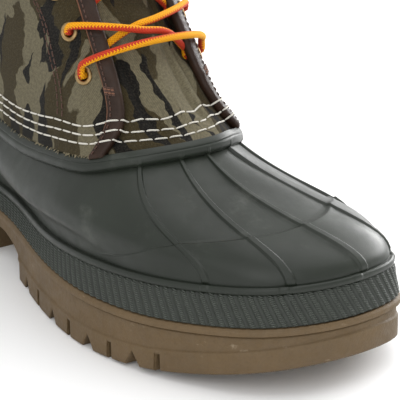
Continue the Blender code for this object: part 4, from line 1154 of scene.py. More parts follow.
# Shares of the way up each stretch of the sole's side, and the lip's depths under the top in millimetres
UP_CHAMFER = np.array([0, 0.15, 0.35, 0.65, 1.0])
UP_LUG = np.array([0.3, 0.6, 0.9, 1.0])
UP_STEP = np.array([0.25, 0.5, 0.75, 1.0])
UP_WALL = np.array([0.33, 0.66, 1.0])
DOWN_LIP = np.array([3.95, 3.75, 3.55, 3.4, 3.2, 2.95, 2.6, 2.2, 1.7, 1.2, 0.8, 0.45, 0.2, 0.0])
# Distances in from the tread's edge in millimetres, close together at the ends of the notches
NEAR_EDGE = np.array([0, 0.3, 1.0, 2.0, 3.4, 4.8, 5.6, 6.0, 6.4, 7.4])


def sole_heights(bottom, top, low):
    """Heights of the rings up the sole's side: chamfer, lugs, the step over them, wall and lip."""
    share = np.linspace(0, 1, len(UP_CHAMFER))[:, None]
    lug_edge = np.maximum(bottom + LUG_HEIGHT - 0.1 * MM, low + 0.8 * MM)
    lower = np.minimum(low + UP_CHAMFER[:, None] * MM, lug_edge - 0.2 * MM * (1 - share))
    wall = lower[-1] + (lug_edge - lower[-1]) * UP_LUG[:, None]
    lip_foot = top - LIP_HEIGHT - LIP_FALL
    step = lug_edge + (np.minimum(lug_edge + 0.9 * MM, lip_foot) - lug_edge) * UP_STEP[:, None]
    upper = step[-1] + (lip_foot - step[-1]) * UP_WALL[:, None]
    return np.concatenate([lower, wall, step, upper, top - DOWN_LIP[:, None] * MM])


def sole_tread(lateral, medial):
    """The tread between the side's two lower edges, cut up by the channels, the notches and fine sipes."""
    width = np.linalg.norm(medial - lateral, axis=1)[:, None]
    near = np.minimum(NEAR_EDGE[None, :] * MM, width * np.linspace(0, 0.34, len(NEAR_EDGE))[None, :])
    middle = near[:, -1:] + (width - 2 * near[:, -1:]) * np.linspace(0, 1, 9)[1:-1]
    run = np.concatenate([near, middle, width - near[:, ::-1]], axis=1)
    t = (run / np.maximum(width, 1e-9))[..., None]
    floor = lateral[:, None, :] * (1 - t) + medial[:, None, :] * t
    x = floor[..., 0]
    inner = np.minimum(run, width - run)
    reach = smoothstep(NOTCH_REACH + 0.2 * MM, NOTCH_REACH - 0.2 * MM, inner)
    sipe = 1.0 * MM * np.maximum.reduce([boxed(x, middle, 0.5 * MM, 0.4 * MM) for middle in NOTCHES])
    lift = np.maximum(tread_lift(x), notch_lift(x) * reach)
    floor[..., 2] = sole_bottom(x) + np.maximum(lift, sipe * smoothstep(4 * MM, 8 * MM, inner))
    floor[:, 0], floor[:, -1] = lateral, medial
    return floor


def make_outsole(look):
    """The sole: its side wall, the tread as a height over the floor, and its lid under the rubber bottom."""
    half = sole_rows()
    rows = whole_rows(half)
    line = FOOT_LINE(rows)
    bottom, top = sole_bottom(line[:, 0]), sole_top(line[:, 0])
    cut = np.maximum(tread_lift(line[:, 0]), notch_lift(line[:, 0]))
    cut = np.minimum(cut, top - bottom - LIP_HEIGHT - 1.5 * MM)
    low = bottom + cut
    z = sole_heights(bottom, top, low)
    edge_round = -0.5 * MM * (1 - np.clip((z - low) / MM, 0, 1)) ** 2 * (cut > 0.3 * MM)
    offset = wall_offset(z - bottom, top - z) + edge_round
    side = line[None] + outward(FOOT_LINE, rows)[None] * offset[..., None]
    side[..., 2] = z
    patches = [patch(side, around=True), patch(sole_tread(*two_sides(side[0], len(half))), flip=True),
               patch(lid(side[-1], len(half), 7))]
    make_piece("outsole_unit", patches, [gum_finish(look)], ("outsole",), sharp=50)


def make_insole():
    """The insole: a shallow dish whose rim is rounded, from heel to toe."""
    half = np.linspace(0, TOE_ROW, 91)
    rows = whole_rows(half)
    inset = FOXING_LEAN + FOXING_STEP + RUBBER_WALL + INSOLE_INSET
    floor = GAP + MARGIN_WALL + INSOLE_GAP
    thick = INSOLE_WALL / MM
    rim = ((0.4, 0.0), (0.0, 0.5), (0.0, thick - 0.8), (0.5, thick - 0.1), (1.6, thick), (4.0, thick - 0.3),
           (7.0, thick - 0.6))
    rings = np.array([foot_edge(rows, 0 * rows + inset + away * MM, 0 * rows + floor + lift * MM)
                      for away, lift in rim])
    patches = [patch(rings, around=True), patch(lid(rings[0], len(half), 9), flip=True),
               patch(lid(rings[-1], len(half), 9))]
    make_piece("insole_sheet", patches, [felt_finish()], ("insole",))


# Canvas, tongue and leather

def eyelet_rings():
    """Places half way between the eyelets and a half pitch past both ends, by length up the throat."""
    return edge_places(EYELET_FIRST + (np.arange(EYELET_PAIRS + 1) - 0.5) * EYELET_PITCH)


def eyelet_places():
    """Row and place of each lateral eyelet, from the bottom up. The medial ones mirror them."""
    rings = eyelet_rings()
    back = throat_row(rings) - (TONGUE_LAP + EYELET_BAND) / row_width(rings)
    rows = (back + lap_row(rings)) / 2
    return (rows[1:] + rows[:-1]) / 2, (rings[1:] + rings[:-1]) / 2


def eyelet_spots():
    """Middle on the cloth, outward direction and direction up the throat of each eyelet, lateral first."""
    rows, places = eyelet_places()
    rows, places = np.concatenate([rows, ROUND - rows]), np.concatenate([places, places])
    middle = canvas(rows, places)
    axis = normals(canvas, rows, places)
    up = canvas(rows, places + 0.01) - middle
    up = unit(up - axis * (up * axis).sum(-1, keepdims=True))
    return middle, axis, up


def make_cloth(name, look, outer, inner, rim, node):
    """A sheet of cloth from its outer and inner faces: joined over a rim at the top, and at its foot and its
    two side edges."""
    edges = [patch(np.stack([outer[:, column], inner[:, column]], 1), flip=flip)
             for column, flip in ((0, True), (-1, False))]
    hoop = patch(np.stack([outer[0], inner[0]], 0), flip=True)
    faces = [patch(np.concatenate([outer, rim])), patch(np.concatenate([rim, inner[::-1]]), slot=1)]
    return make_piece(name, faces + edges + [hoop], [canvas_finish(look), backing_finish(look)],
                      (node,), middle=True, sharp=50)


def make_shaft(look):
    """The canvas shaft: the creased cloth between the throat's two edges, with a frayed foot and a rounded
    top."""
    hem = hem_place() + np.array([-0.006, 0.0, 0.004, 0.012])
    places = np.concatenate([[0.0, 0.006], np.linspace(0.02, 0.90, 92), hem, [0.95, 0.975, 0.992, 1.0]])
    places = np.unique(np.round(places, 6))
    rows = throat_row(places)[:, None] * np.linspace(-1, 1, 301)[None, :]
    up = np.broadcast_to(places[:, None], rows.shape)
    frayed = 0.0009 * np.sin(rows * 31 + 2 * np.sin(rows * 13)) * (up < 0.001)
    rounded = 0.35 * MM
    outer = canvas(rows, up + frayed, -rounded * (up > 0.9999))
    inner = canvas(rows, up, -CANVAS_WALL)
    rim = (outer + inner)[-1:] / 2 + UP * rounded
    punch_eyelets(make_cloth("canvas_shaft", look, outer, inner, rim, "shaft"))


def punch_eyelets(thing):
    """Cut a round hole through the canvas at each eyelet."""
    middle, axis, up = eyelet_spots()
    centres = middle[:, None] + axis[:, None] * np.array([-4.0, 3.0])[None, :, None] * MM
    side = np.broadcast_to(np.cross(up, axis)[:, None], centres.shape)
    top = np.cross(np.broadcast_to(axis[:, None], centres.shape), side)
    verts, quads, _ = tubes(centres, side, top, EYELET_BARREL - 0.15 * MM, 20)
    mesh = bpy.data.meshes.new("punch")
    mesh.from_pydata(standing(verts).tolist(), [], quads.tolist())
    cutter = bpy.data.objects.new("punch", mesh)
    bpy.context.scene.collection.objects.link(cutter)
    modifier = thing.modifiers.new("eyelet holes", "BOOLEAN")
    modifier.operation = "DIFFERENCE"
    modifier.solver = "EXACT"
    modifier.object = cutter
    bpy.context.view_layer.update()
    evaluated = thing.evaluated_get(bpy.context.evaluated_depsgraph_get())
    cut = bpy.data.meshes.new_from_object(evaluated)
    thing.modifiers.remove(modifier)
    old = thing.data
    thing.data = cut
    bpy.data.meshes.remove(old)
    bpy.data.objects.remove(cutter)


def tongue_depth(rows, places):
    """Depth of the tongue's face under the shaft's surface: the canvas and a gap, a press under the lace that
    is deeper behind the flaps, and its own creases."""
    under = smoothstep(throat_row(places) + 1.1, throat_row(places) - 0.2, from_back(rows))
    laced = smoothstep(0.27, 0.36, places) * smoothstep(1.03, 0.97, places)
    pressed = laced * (1.0 + 2.3 * under) * MM
    return CANVAS_WALL + GAP + pressed + np.maximum(crease_depth(TONGUE_CREASES, rows, places), -1.2 * MM)


def make_tongue(look):
    """The tongue: a creased sheet behind the throat that stands above the top line."""
    places = np.concatenate([[0.0], np.linspace(0.01, 1.0, 110)])
    edge = lap_row(places)[:, None]
    rows = edge + (ROUND - 2 * edge) * np.linspace(0, 1, 121)[None, :]
    grid_places = np.broadcast_to(places[:, None], rows.shape)
    depth = tongue_depth(rows, grid_places)
    outer = shaft_layer(rows, grid_places, depth)
    inner = shaft_layer(rows, grid_places, depth + TONGUE_WALL)
    lean = unit(outer[-1] - outer[-5])
    rise = np.linspace(0, 1, 9)[1:, None, None] * TONGUE_RISE
    outer = np.concatenate([outer, outer[-1][None] + lean[None] * rise])
    inner = np.concatenate([inner, inner[-1][None] + lean[None] * rise])
    rim = (outer + inner)[-1:] / 2 + lean[None] * 0.5 * MM
    make_cloth("canvas_tongue", look, outer, inner, rim, "tongue")


# Section of a binding in millimetres: distance from the throat's edge towards the heel, and height over the
# cloth. RAW_SPANS counts the section's stretches along the leather's cut edge
BINDING_LINE = ((4.6, -1.55), (4.6, -2.15), (2.5, -2.45), (0.6, -2.50), (-0.5, -2.25), (-1.15, -1.55),
                (-1.42, -0.6), (-1.40, 0.35), (-1.0, 1.05), (-0.2, 1.45), (0.9, 1.52), (2.4, 1.46),
                (3.8, 1.40), (4.8, 1.32), (5.15, 1.20), (5.30, 1.05), (5.72, 0.50), (5.85, 0.02),
                (4.0, 0.0), (1.0, 0.0), (0.2, 0.0), (-0.12, -0.2), (-0.15, -0.9), (-0.1, -1.5),
                (2.0, -1.55))
RAW_SPANS = (14, 15, 16)


def binding_grid(side):
    """The folded strip carried up the throat's edge, puckered a little between its stitches."""
    places = np.linspace(-0.012, 0.995, 240)
    edge = throat_row(np.maximum(places, 0))
    width = row_width(np.maximum(places, 0))
    across = np.array([p[0] for p in BINDING_LINE])[None, :] * MM
    height = np.array([p[1] for p in BINDING_LINE])[None, :] * MM
    rows = side * (edge[:, None] - across / width[:, None])
    up = np.broadcast_to(places[:, None], rows.shape)
    run = np.arange(len(places))[:, None]
    pucker = 0.10 * MM * np.sin(run * 2.1) * (np.abs(across - 3.4 * MM) < 2.0 * MM) * (height > 1.2 * MM)
    kink = 0.35 * MM * np.exp(-((up - BAR_TACK) / 0.012) ** 2) * (height > 0.9 * MM)
    return canvas(rows, np.maximum(up, 0), height + pucker + kink) + np.minimum(up, 0)[..., None] * UP * 0.12


def make_binding(look, flank, side):
    """One binding: the section's stretches as long strips, gathered to a point at both ends."""
    grid = binding_grid(side)
    closed = np.concatenate([grid, grid[:, :1]], axis=1)
    foot, head = [end * 0 + end.mean(1, keepdims=True) for end in (closed[:1], closed[-1:])]
    closed = np.concatenate([foot, closed, head])
    patches = [patch(closed[:, k:k + 2], slot=1 if k in RAW_SPANS else 0) for k in range(closed.shape[1] - 1)]
    make_piece(f"leather_binding_{flank}", patches, [leather_finish(look), raw_edge_finish(look)],
               (f"binding_{flank}",))


# Section of an eyelet in millimetres: radius, and height over the cloth
EYELET_PROFILE = ((2.05, -1.9), (2.06, -0.4), (2.12, 0.30), (2.30, 0.66), (2.60, 0.86), (2.95, 0.93),
                  (3.30, 0.86), (3.62, 0.66), (3.84, 0.38), (3.90, 0.14), (3.88, -0.02), (2.75, 0.0),
                  (2.66, -0.6), (2.66, -1.35), (2.80, -1.56), (3.60, -1.60), (3.74, -1.78), (3.60, -1.98),
                  (2.80, -2.10), (2.25, -2.06))


def make_eyelets(look):
    """Each eyelet: a rolled profile turned round its axis."""
    middle, axis, up = eyelet_spots()
    finish = brass_finish(look)
    side = np.cross(up, axis)
    turns = np.linspace(0, 2 * pi, 40, endpoint=False)
    for k in range(2 * EYELET_PAIRS):
        spoke = np.cos(turns)[:, None] * side[k] + np.sin(turns)[:, None] * up[k]
        rings = [middle[k] + spoke * radius * MM + axis[k] * height * MM for radius, height in EYELET_PROFILE]
        flank, number = ("lateral", k + 1) if k < EYELET_PAIRS else ("medial", k + 1 - EYELET_PAIRS)
        make_piece(f"brass_eyelet_{flank}_{number}", [patch(rings, around=True, stack=True)], [finish],
                   (f"eyelet_{flank}_{number}",))


# Lace

def arched(share):
    """Half an ellipse: 0 at both ends and 1 in the middle."""
    return np.sqrt(np.clip(4 * share * (1 - share), 0, 1))


def over_flaps(start, end, bow, arch, begins_under):
    """Way points of one bar, each a row, a place and a height in millimetres.

    start and end are a row and a place. The bar rests on the bindings, stands off the tongue by an arch, bows
    up the throat, and dives into the eyelet at its end, and at its start unless it begins under the flap."""
    share = np.linspace(0, 1, 33)
    rows = start[0] + (end[0] - start[0]) * share
    places = edge_places(bow * arched(share), start[1] + (end[1] - start[1]) * share)
    height = 3.15 + arch * arched(share)
    if begins_under:
        rise = smoothstep(0.02, 0.40, share)
        height = height * rise - 1.7 * (1 - rise)
    else:
        height = height - 1.2 * smoothstep(0.06, 0.0, share)
    height = height - 1.2 * smoothstep(0.94, 1.0, share)
    return list(zip(rows, places, height))


def eyelet_dive(row, place, inward):
    """Way points through an eyelet, from outside in, or from inside out."""
    steps = [(row, place, height) for height in (1.2, -0.6, -2.4)]
    return steps if inward else steps[::-1]


def behind_flap(row, place, start_row, start_place):
    """Way points behind a flap, from an eyelet to where a bar starts at the flap's edge."""
    route = zip((0.25, 0.5, 0.75, 1.0), (-3.5, -3.45, -3.3, -2.9))
    return [(row + (start_row - row) * s, place + (start_place - place) * s, height) for s, height in route]


def bar_start(flank, place):
    """Row and place where a bar comes out from behind the lateral or the medial flap."""
    place = float(edge_places(LATERAL_CLIMB if flank > 0 else MEDIAL_CLIMB, place))
    row = float(throat_row(place)) - 2.0 * MM / float(row_width(place))
    return (row if flank > 0 else ROUND - row), place


def lace_line():
    """The whole lace: from its end inside the top medial eyelet down to the lowest bar, which runs straight
    across outside, and up again to the top lateral one."""
    rows, places = eyelet_places()

    def seat(flank, level):
        return (rows[level] if flank > 0 else ROUND - rows[level]), places[level]

    def climb(flank):
        """From the lowest eyelet on one flank, behind each flap in turn and over the other, to the top."""
        points = eyelet_dive(*seat(flank, 0), True)
        for level in range(EYELET_PAIRS - 1):
            start = bar_start(flank, places[level])
            end = seat(-flank, level + 1)
            above = (flank > 0) == (level % 2 == 1)
            points += behind_flap(*seat(flank, level), *start)
            points += over_flaps(start, end, LACE_BOW, 2.2 if above else 0.3, True)[1:]
            points += eyelet_dive(*end, True)
            flank = -flank
        return points + [(end[0] - flank * 0.12, end[1], -3.6)]

    bar = over_flaps(seat(1, 0), seat(-1, 0), BAR_BOW, 3.2, False)
    return np.array(climb(1)[::-1] + bar + climb(-1))


def through(points, pitch):
    """A centripetal Catmull-Rom curve through points, sampled at an even pitch."""
    gaps = np.maximum(np.linalg.norm(np.diff(points, axis=0), axis=1), 1e-6) ** 0.5
    knots = np.concatenate([[0], np.cumsum(gaps)])
    slopes = np.gradient(points, knots, axis=0)
    fine = np.linspace(0, knots[-1], 40 * len(points))
    low = np.clip(np.searchsorted(knots, fine, side="right") - 1, 0, len(knots) - 2)
    gap = knots[low + 1] - knots[low]
    t = ((fine - knots[low]) / gap)[:, None]
    gap = gap[:, None]
    curve = ((2 * t ** 3 - 3 * t ** 2 + 1) * points[low] + (t ** 3 - 2 * t ** 2 + t) * gap * slopes[low]
             + (3 * t ** 2 - 2 * t ** 3) * points[low + 1] + (t ** 3 - t ** 2) * gap * slopes[low + 1])
    run = running_length(curve)
    even = np.linspace(0, run[-1], int(run[-1] / pitch))
    return np.stack([np.interp(even, run, curve[:, k]) for k in range(3)], -1)


def make_lace(look):
    """The lace: a round cord carried along its whole route, its pattern turned with the throat."""
    route = lace_line()
    path = through(shaft_layer(route[:, 0], route[:, 1], -route[:, 2] * MM), LACE_STEP)
    run = unit(np.gradient(path, axis=0))
    places = eyelet_places()[1]
    climb = unit(np.diff(shaft_surface(TOE_ROW + np.zeros(2), places[[0, -1]]), axis=0))[0]
    side = unit(climb[None] - run * (run @ climb)[:, None])
    top = np.cross(run, side)
    verts, quads, uv = tubes(path[None], side[None], top[None], LACE_RADIUS, 20)
    lowest = route[len(route) // 2]
    middle = shaft_layer(lowest[0], lowest[1], -lowest[2] * MM)
    uv[..., 0] -= LACE_STEP * np.linalg.norm(path - middle, axis=1).argmin()
    names = ("lace_bar",) + tuple(f"lace_crossing_{k + 1}" for k in range(EYELET_PAIRS - 1))
    mesh_from("braided_lace", verts, quads, uv, np.zeros(len(quads)), [lace_finish(look)], names,
              sharp=60)


# Stitching

STITCH_DIP = 0.30 * MM


def sewn(rows, places, heights, pitch, gap, radius):
    """Stitches along a line of rows and places. Each is a short bar whose ends dive into the cloth, by the
    sixth power of the distance from its middle."""
    run = running_length(canvas(rows, places, heights))
    count = max(1, int(run[-1] / pitch))
    t = np.linspace(0, 1, 8)
    starts = np.arange(count)[:, None] * (run[-1] / count)
    along = starts + gap / 2 + t[None, :] * (run[-1] / count - gap)
    row = np.interp(along, run, rows)
    place = np.interp(along, run, places)
    height = np.interp(along, run, heights)
    rise = radius * (1.0 - (1.0 + STITCH_DIP / radius) * np.abs(2 * t - 1) ** 6)
    centres = canvas(row, place, height + rise[None, :] * 0.9)
    out = normals(shaft_surface, row, place)
    way = unit(np.gradient(centres, axis=1))
    side = unit(np.cross(out, way))
    top = np.cross(way, side)
    thin = radius * np.where(np.abs(2 * t - 1) > 0.99, 0.55, 1.0)
    return centres, side, top, np.broadcast_to(thin[None, :], centres.shape[:2])


def stitch_piece(name, groups, finish, sides=6):
    """One mesh of many stitches."""
    verts, quads, uvs, start = [], [], [], 0
    for centres, side, top, radii in groups:
        points, faces, uv = tubes(centres, side, top, radii, sides)
        verts.append(points)
        quads.append(faces + start)
        uvs.append(uv)
        start += len(points)
    quads = np.concatenate(quads)
    mesh_from(name, np.concatenate(verts), quads, np.concatenate(uvs), np.zeros(len(quads)), [finish])


def top_height(rows, places):
    """Height of what lies uppermost at the front: the cloth, the bindings or the tongue between them."""
    back = (throat_row(places) - from_back(rows)) * row_width(places) / MM
    leather = smoothstep(6.2, 5.4, back) * smoothstep(-2.6, -1.2, back)
    tongue = smoothstep(-1.2, -2.6, back)
    return 1.5 * MM * leather - tongue * (tongue_depth(rows, places) + canvas_relief(rows, places))


def make_stitching(look, stitch_length):
    """White rows round the canvas's foot, brown seams on the quarters, hem and bindings, and bar tacks."""
    turn = np.linspace(0.0, ROUND, 1401)
    white = []
    for number, distance in enumerate(WHITE_ROWS):
        rows = turn + 0.11 * number
        places = distance * place_rate(rows) * (1 + 0.02 * np.sin(rows * 3.1 + number))
        white.append(sewn(rows, places, top_height(rows, places), stitch_length, 0.6 * MM, 0.36 * MM))
    stitch_piece("white_stitching", white, thread_finish("white thread", look.thread))
    brown, rust = [], []
    up = np.linspace(0.125, hem_place() - 0.02, 300)
    for side in (1, -1):
        for offset in (0.05, -0.13):
            rows = side * (SEAM_ROW + offset) + 0 * up
            brown.append(sewn(rows % ROUND, up, 0 * up, 2.9 * MM, 0.5 * MM, 0.26 * MM))
        climb = np.linspace(0.0, 0.985, 500)
        back = 3.9 * MM / row_width(climb)
        rows = side * (throat_row(climb) - back)
        brown.append(sewn(rows % ROUND, climb, 1.46 * MM + 0 * climb, 2.3 * MM, 0.9 * MM, 0.26 * MM))
        tack = np.linspace(0, 1, 60)
        for shift in (-2, -1, 0, 1, 2):
            place = BAR_TACK + shift * 0.0052 + 0 * tack
            away = (1.2 + 3.9 * tack) * MM / row_width(place)
            (rust if shift % 2 else brown).append(
                sewn((side * (throat_row(place) - away)) % ROUND, place, 1.70 * MM + 0 * tack,
                     1.3 * MM, 0.25 * MM, 0.27 * MM))
    rows = np.linspace(-THROAT_ROWS[-1] + 0.8, THROAT_ROWS[-1] - 0.8, 600)
    brown.append(sewn(rows, 0 * rows + hem_place() + 0.022, 0 * rows, 3.0 * MM, 0.6 * MM, 0.24 * MM))
    stitch_piece("brown_stitching", brown, thread_finish("brown thread", look.brown_thread))
    stitch_piece("bar_tacks", rust, thread_finish("rust thread", look.raw_edge))


def make_fray(look):
    """Loose thread ends along the canvas's raw lower edge, clear of the bindings: short bent bars at seeded
    random rows, each a straight line that sags by the square of its share."""
    rng = np.random.default_rng(FRAY_SEED)
    rows = rng.uniform(0, ROUND, FRAY_COUNT)
    past = from_back(rows) - COLLAR_THROAT
    rows = rows[(past < -0.4) | (past > 0.5)]
    count = len(rows)
    deep = np.where(from_back(rows) > COLLAR_THROAT, -2.0, -0.1) * MM
    root = canvas(rows, 0 * rows + 0.004, deep)
    out = outward(COLLAR_LINE, rows)
    run = np.cross(UP, out)
    length = rng.uniform(0.5, 1.5, count)[:, None] * MM
    fall = -UP * rng.uniform(0.2, 0.9, count)[:, None] + out * rng.uniform(0.3, 0.9, count)[:, None]
    fall = fall + run * rng.uniform(-0.8, 0.8, count)[:, None]
    t = np.linspace(0, 1, 4)[None, :, None]
    centres = root[:, None] + unit(fall)[:, None] * length[:, None] * t - UP * 0.3 * MM * t ** 2
    way = unit(np.gradient(centres, axis=1))
    side = unit(np.cross(np.broadcast_to(run[:, None], way.shape), way))
    top = np.cross(way, side)
    group = (centres, side, top, np.full(centres.shape[:2], 0.10 * MM))
    finish = thread_finish("frayed thread", look.fray)
    stitch_piece("frayed_edge", [group], finish, sides=4)


# Stage

def area_light(name, place, target, size, power):
    """A soft box at a place, aimed at a target."""
    data = bpy.data.lights.new(name, "AREA")
    data.shape = "RECTANGLE"
    data.size, data.size_y = size
    data.energy = power
    lamp = bpy.data.objects.new(name, data)
    lamp.location = place
    lamp.rotation_euler = (Vector(target) - Vector(place)).to_track_quat("-Z", "Y").to_euler()
    bpy.context.scene.collection.objects.link(lamp)


def make_stage(stage):
    """A pale floor under a white sky, three soft boxes, and the camera at the photograph's angle."""
    half = 6.0
    corners = [(x * half, y * half, 0) for x, y in ((-1, -1), (1, -1), (1, 1), (-1, 1))]
    mesh = bpy.data.meshes.new("floor")
    mesh.from_pydata(corners, [], [(0, 1, 2, 3)])
    floor = bpy.data.objects.new("floor", mesh)
    bpy.context.scene.collection.objects.link(floor)
    paint = Finish("floor paper")
    paint.set(Base_Color=(*stage.floor, 1.0), Roughness=0.9, Specular_IOR_Level=0.0)
    mesh.materials.append(paint.material)
    world = bpy.data.worlds.new("studio")
    world.use_nodes = True
    sky = world.node_tree.nodes["Background"]
    sky.inputs["Color"].default_value = (1.0, 1.0, 1.0, 1.0)
    sky.inputs["Strength"].default_value = stage.sky
    bpy.context.scene.world = world
    area_light("overhead", (0.1, 0.35, 2.0), (0.06, 0.0, 0.0), (2.4, 2.0), 19 * stage.power)
    area_light("key", (1.15, -1.25, 0.95), (0.08, 0.0, 0.06), (1.5, 1.5), 10 * stage.power)
    area_light("rim", (-0.15, 1.10, 0.42), (0.10, 0.0, 0.06), (0.9, 0.45), 14 * stage.power)
    bpy.context.scene.view_settings.view_transform = "Standard"
    make_camera()


def make_camera():
    """The camera by its azimuth, elevation and distance from a target on the boot."""
    azimuth, elevation = radians(AZIMUTH), radians(ELEVATION)
    back = Vector((sin(azimuth) * cos(elevation), -cos(azimuth) * cos(elevation), sin(elevation)))
    data = bpy.data.cameras.new("camera")
    data.sensor_fit = "HORIZONTAL"
    data.sensor_width = 36.0
    data.lens = FOCAL_POINTS / FRAME_POINTS * data.sensor_width
    data.shift_x = -(CENTRE_POINT[0] - FRAME_POINTS / 2) / FRAME_POINTS
    data.shift_y = (CENTRE_POINT[1] - FRAME_POINTS / 2) / FRAME_POINTS
    data.clip_start, data.clip_end = 0.01, 50.0
    camera = bpy.data.objects.new("camera", data)
    camera.location = Vector(standing(np.array(TARGET))) + back * DISTANCE
    camera.rotation_mode = "QUATERNION"
    camera.rotation_quaternion = (-back).to_track_quat("-Z", "Y")
    bpy.context.scene.collection.objects.link(camera)
    bpy.context.scene.camera = camera


# Settings

def colour_property(name, description, code):
    """A colour setting, from six hex digits."""
    return FloatVectorProperty(name=name, description=description, subtype="COLOR", size=3, min=0.0, max=1.0,
                               default=srgb(code))


class BootLook(bpy.types.PropertyGroup):
    rubber: colour_property("Rubber", "Colour of the moulded rubber bottom", "20251e")
    rubber_roughness: FloatProperty(name="Rubber roughness", description="How matt the rubber is",
                                    default=0.40, min=0.1, max=1.0, subtype="FACTOR")
    gum: colour_property("Gum", "Colour of the outsole", "5b482c")
    khaki: colour_property("Khaki", "Light colour of the printed canvas", "726b55")
    olive: colour_property("Olive", "Middle colour of the printed canvas", "3b321b")
    charcoal: colour_property("Charcoal", "Dark colour of the printed canvas", "0b0a0a")
    leather: colour_property("Leather", "Colour of the bindings", "2a1b12")
    raw_edge: colour_property("Raw edge", "Colour of the leather's cut edge", "7d5138")
    brass: colour_property("Brass", "Colour of the eyelets", "a58a60")
    lace_yellow: colour_property("Lace yellow", "One half of the lace", "f2a50a")
    lace_red: colour_property("Lace red", "The other half of the lace", "c63a20")
    thread: colour_property("White thread", "Colour of the rows round the canvas", "cfcbc0")
    brown_thread: colour_property("Brown thread", "Colour of the seams", "4a2b1b")
    fray: colour_property("Fray", "Colour of loose thread ends", "8f8468")


def length_property(name, description, default, lowest, highest):
    """A length setting in metres."""
    return FloatProperty(name=name, description=description, default=default, min=lowest, max=highest,
                         subtype="DISTANCE", unit="LENGTH")


class BootSizes(bpy.types.PropertyGroup):
    knurl_depth: length_property("Knurl depth", "Height of the foxing's ribs", 0.0009, 0.0, 0.0015)
    knurl_pitch: length_property("Knurl pitch", "Distance between the foxing's ribs", 0.004, 0.002, 0.01)
    stitch_length: length_property("Stitch length", "Pitch of the white stitches", 0.0060, 0.002, 0.012)


class BootStage(bpy.types.PropertyGroup):
    floor: colour_property("Floor", "Colour of the floor", "f7f7f7")
    sky: FloatProperty(name="Sky", description="Strength of the white surroundings", default=0.86, min=0.0,
                       max=5.0)
    power: FloatProperty(name="Lamps", description="Strength of the three soft boxes", default=1.0, min=0.0,
                         max=10.0)


class BOOT_OT_rubber_bottom(bpy.types.Operator):
    """Build the moulded rubber bottom with its ribs, toe cap and rolled collar"""
    bl_idname = "boot.rubber_bottom"
    bl_label = "Rubber Bottom"

    def execute(self, context):
        make_rubber_bottom(context.scene.boot_look)
        return {"FINISHED"}


class BOOT_OT_foxing(bpy.types.Operator):
    """Build the knurled foxing band"""
    bl_idname = "boot.foxing"
    bl_label = "Foxing Band"

    def execute(self, context):
        sizes = context.scene.boot_sizes
        make_foxing(context.scene.boot_look, sizes.knurl_depth, sizes.knurl_pitch)
        return {"FINISHED"}


class BOOT_OT_outsole(bpy.types.Operator):
    """Build the gum outsole with its lugs"""
    bl_idname = "boot.outsole"
    bl_label = "Outsole"

    def execute(self, context):
        make_outsole(context.scene.boot_look)
        return {"FINISHED"}


class BOOT_OT_insole(bpy.types.Operator):
    """Build the insole"""
    bl_idname = "boot.insole"
    bl_label = "Insole"

    def execute(self, context):
        make_insole()
        return {"FINISHED"}


class BOOT_OT_canvas(bpy.types.Operator):
    """Build the canvas shaft and the tongue"""
    bl_idname = "boot.canvas"
    bl_label = "Shaft and Tongue"

    def execute(self, context):
        make_shaft(context.scene.boot_look)
        make_tongue(context.scene.boot_look)
        return {"FINISHED"}


class BOOT_OT_bindings(bpy.types.Operator):
    """Build the two leather bindings"""
    bl_idname = "boot.bindings"
    bl_label = "Bindings"

    def execute(self, context):
        make_binding(context.scene.boot_look, "lateral", 1)
        make_binding(context.scene.boot_look, "medial", -1)
        return {"FINISHED"}


class BOOT_OT_eyelets(bpy.types.Operator):
    """Build the twelve eyelets"""
    bl_idname = "boot.eyelets"
    bl_label = "Eyelets"

    def execute(self, context):
        make_eyelets(context.scene.boot_look)
        return {"FINISHED"}


class BOOT_OT_lace(bpy.types.Operator):
    """Build the lace"""
    bl_idname = "boot.lace"
    bl_label = "Lace"

    def execute(self, context):
        make_lace(context.scene.boot_look)
        return {"FINISHED"}


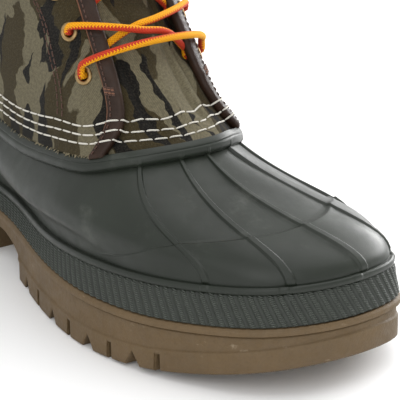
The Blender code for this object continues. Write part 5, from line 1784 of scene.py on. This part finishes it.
class BOOT_OT_stitching(bpy.types.Operator):
    """Build the stitching and the frayed edge"""
    bl_idname = "boot.stitching"
    bl_label = "Stitching"

    def execute(self, context):
        make_stitching(context.scene.boot_look, context.scene.boot_sizes.stitch_length)
        make_fray(context.scene.boot_look)
        return {"FINISHED"}


class BOOT_OT_stage(bpy.types.Operator):
    """Build the floor, the lights and the camera"""
    bl_idname = "boot.stage"
    bl_label = "Stage"

    def execute(self, context):
        make_stage(context.scene.boot_stage)
        return {"FINISHED"}


STEPS = ("rubber_bottom", "foxing", "outsole", "insole", "canvas", "bindings", "eyelets", "lace", "stitching",
         "stage")


class BOOT_PT_panel(bpy.types.Panel):
    """Settings and steps of the boot"""
    bl_idname = "BOOT_PT_panel"
    bl_label = "Duck Boot"
    bl_space_type = "VIEW_3D"
    bl_region_type = "UI"
    bl_category = "Boot"

    def draw(self, context):
        for group in (context.scene.boot_look, context.scene.boot_sizes, context.scene.boot_stage):
            for name in group.bl_rna.properties.keys():
                if name not in ("rna_type", "name"):
                    self.layout.prop(group, name)
        for step in STEPS:
            self.layout.operator(f"boot.{step}")


CLASSES = (BootLook, BootSizes, BootStage, BOOT_OT_rubber_bottom, BOOT_OT_foxing, BOOT_OT_outsole,
           BOOT_OT_insole, BOOT_OT_canvas, BOOT_OT_bindings, BOOT_OT_eyelets, BOOT_OT_lace, BOOT_OT_stitching,
           BOOT_OT_stage, BOOT_PT_panel)


def register():
    for item in CLASSES:
        bpy.utils.register_class(item)
    bpy.types.Scene.boot_look = PointerProperty(type=BootLook)
    bpy.types.Scene.boot_sizes = PointerProperty(type=BootSizes)
    bpy.types.Scene.boot_stage = PointerProperty(type=BootStage)


def unregister():
    del bpy.types.Scene.boot_stage
    del bpy.types.Scene.boot_sizes
    del bpy.types.Scene.boot_look
    for item in reversed(CLASSES):
        bpy.utils.unregister_class(item)


def main():
    """Build the boot step by step."""
    register()
    for step in STEPS:
        getattr(bpy.ops.boot, step)()
    bpy.context.view_layer.update()


if __name__ == "__main__":
    main()
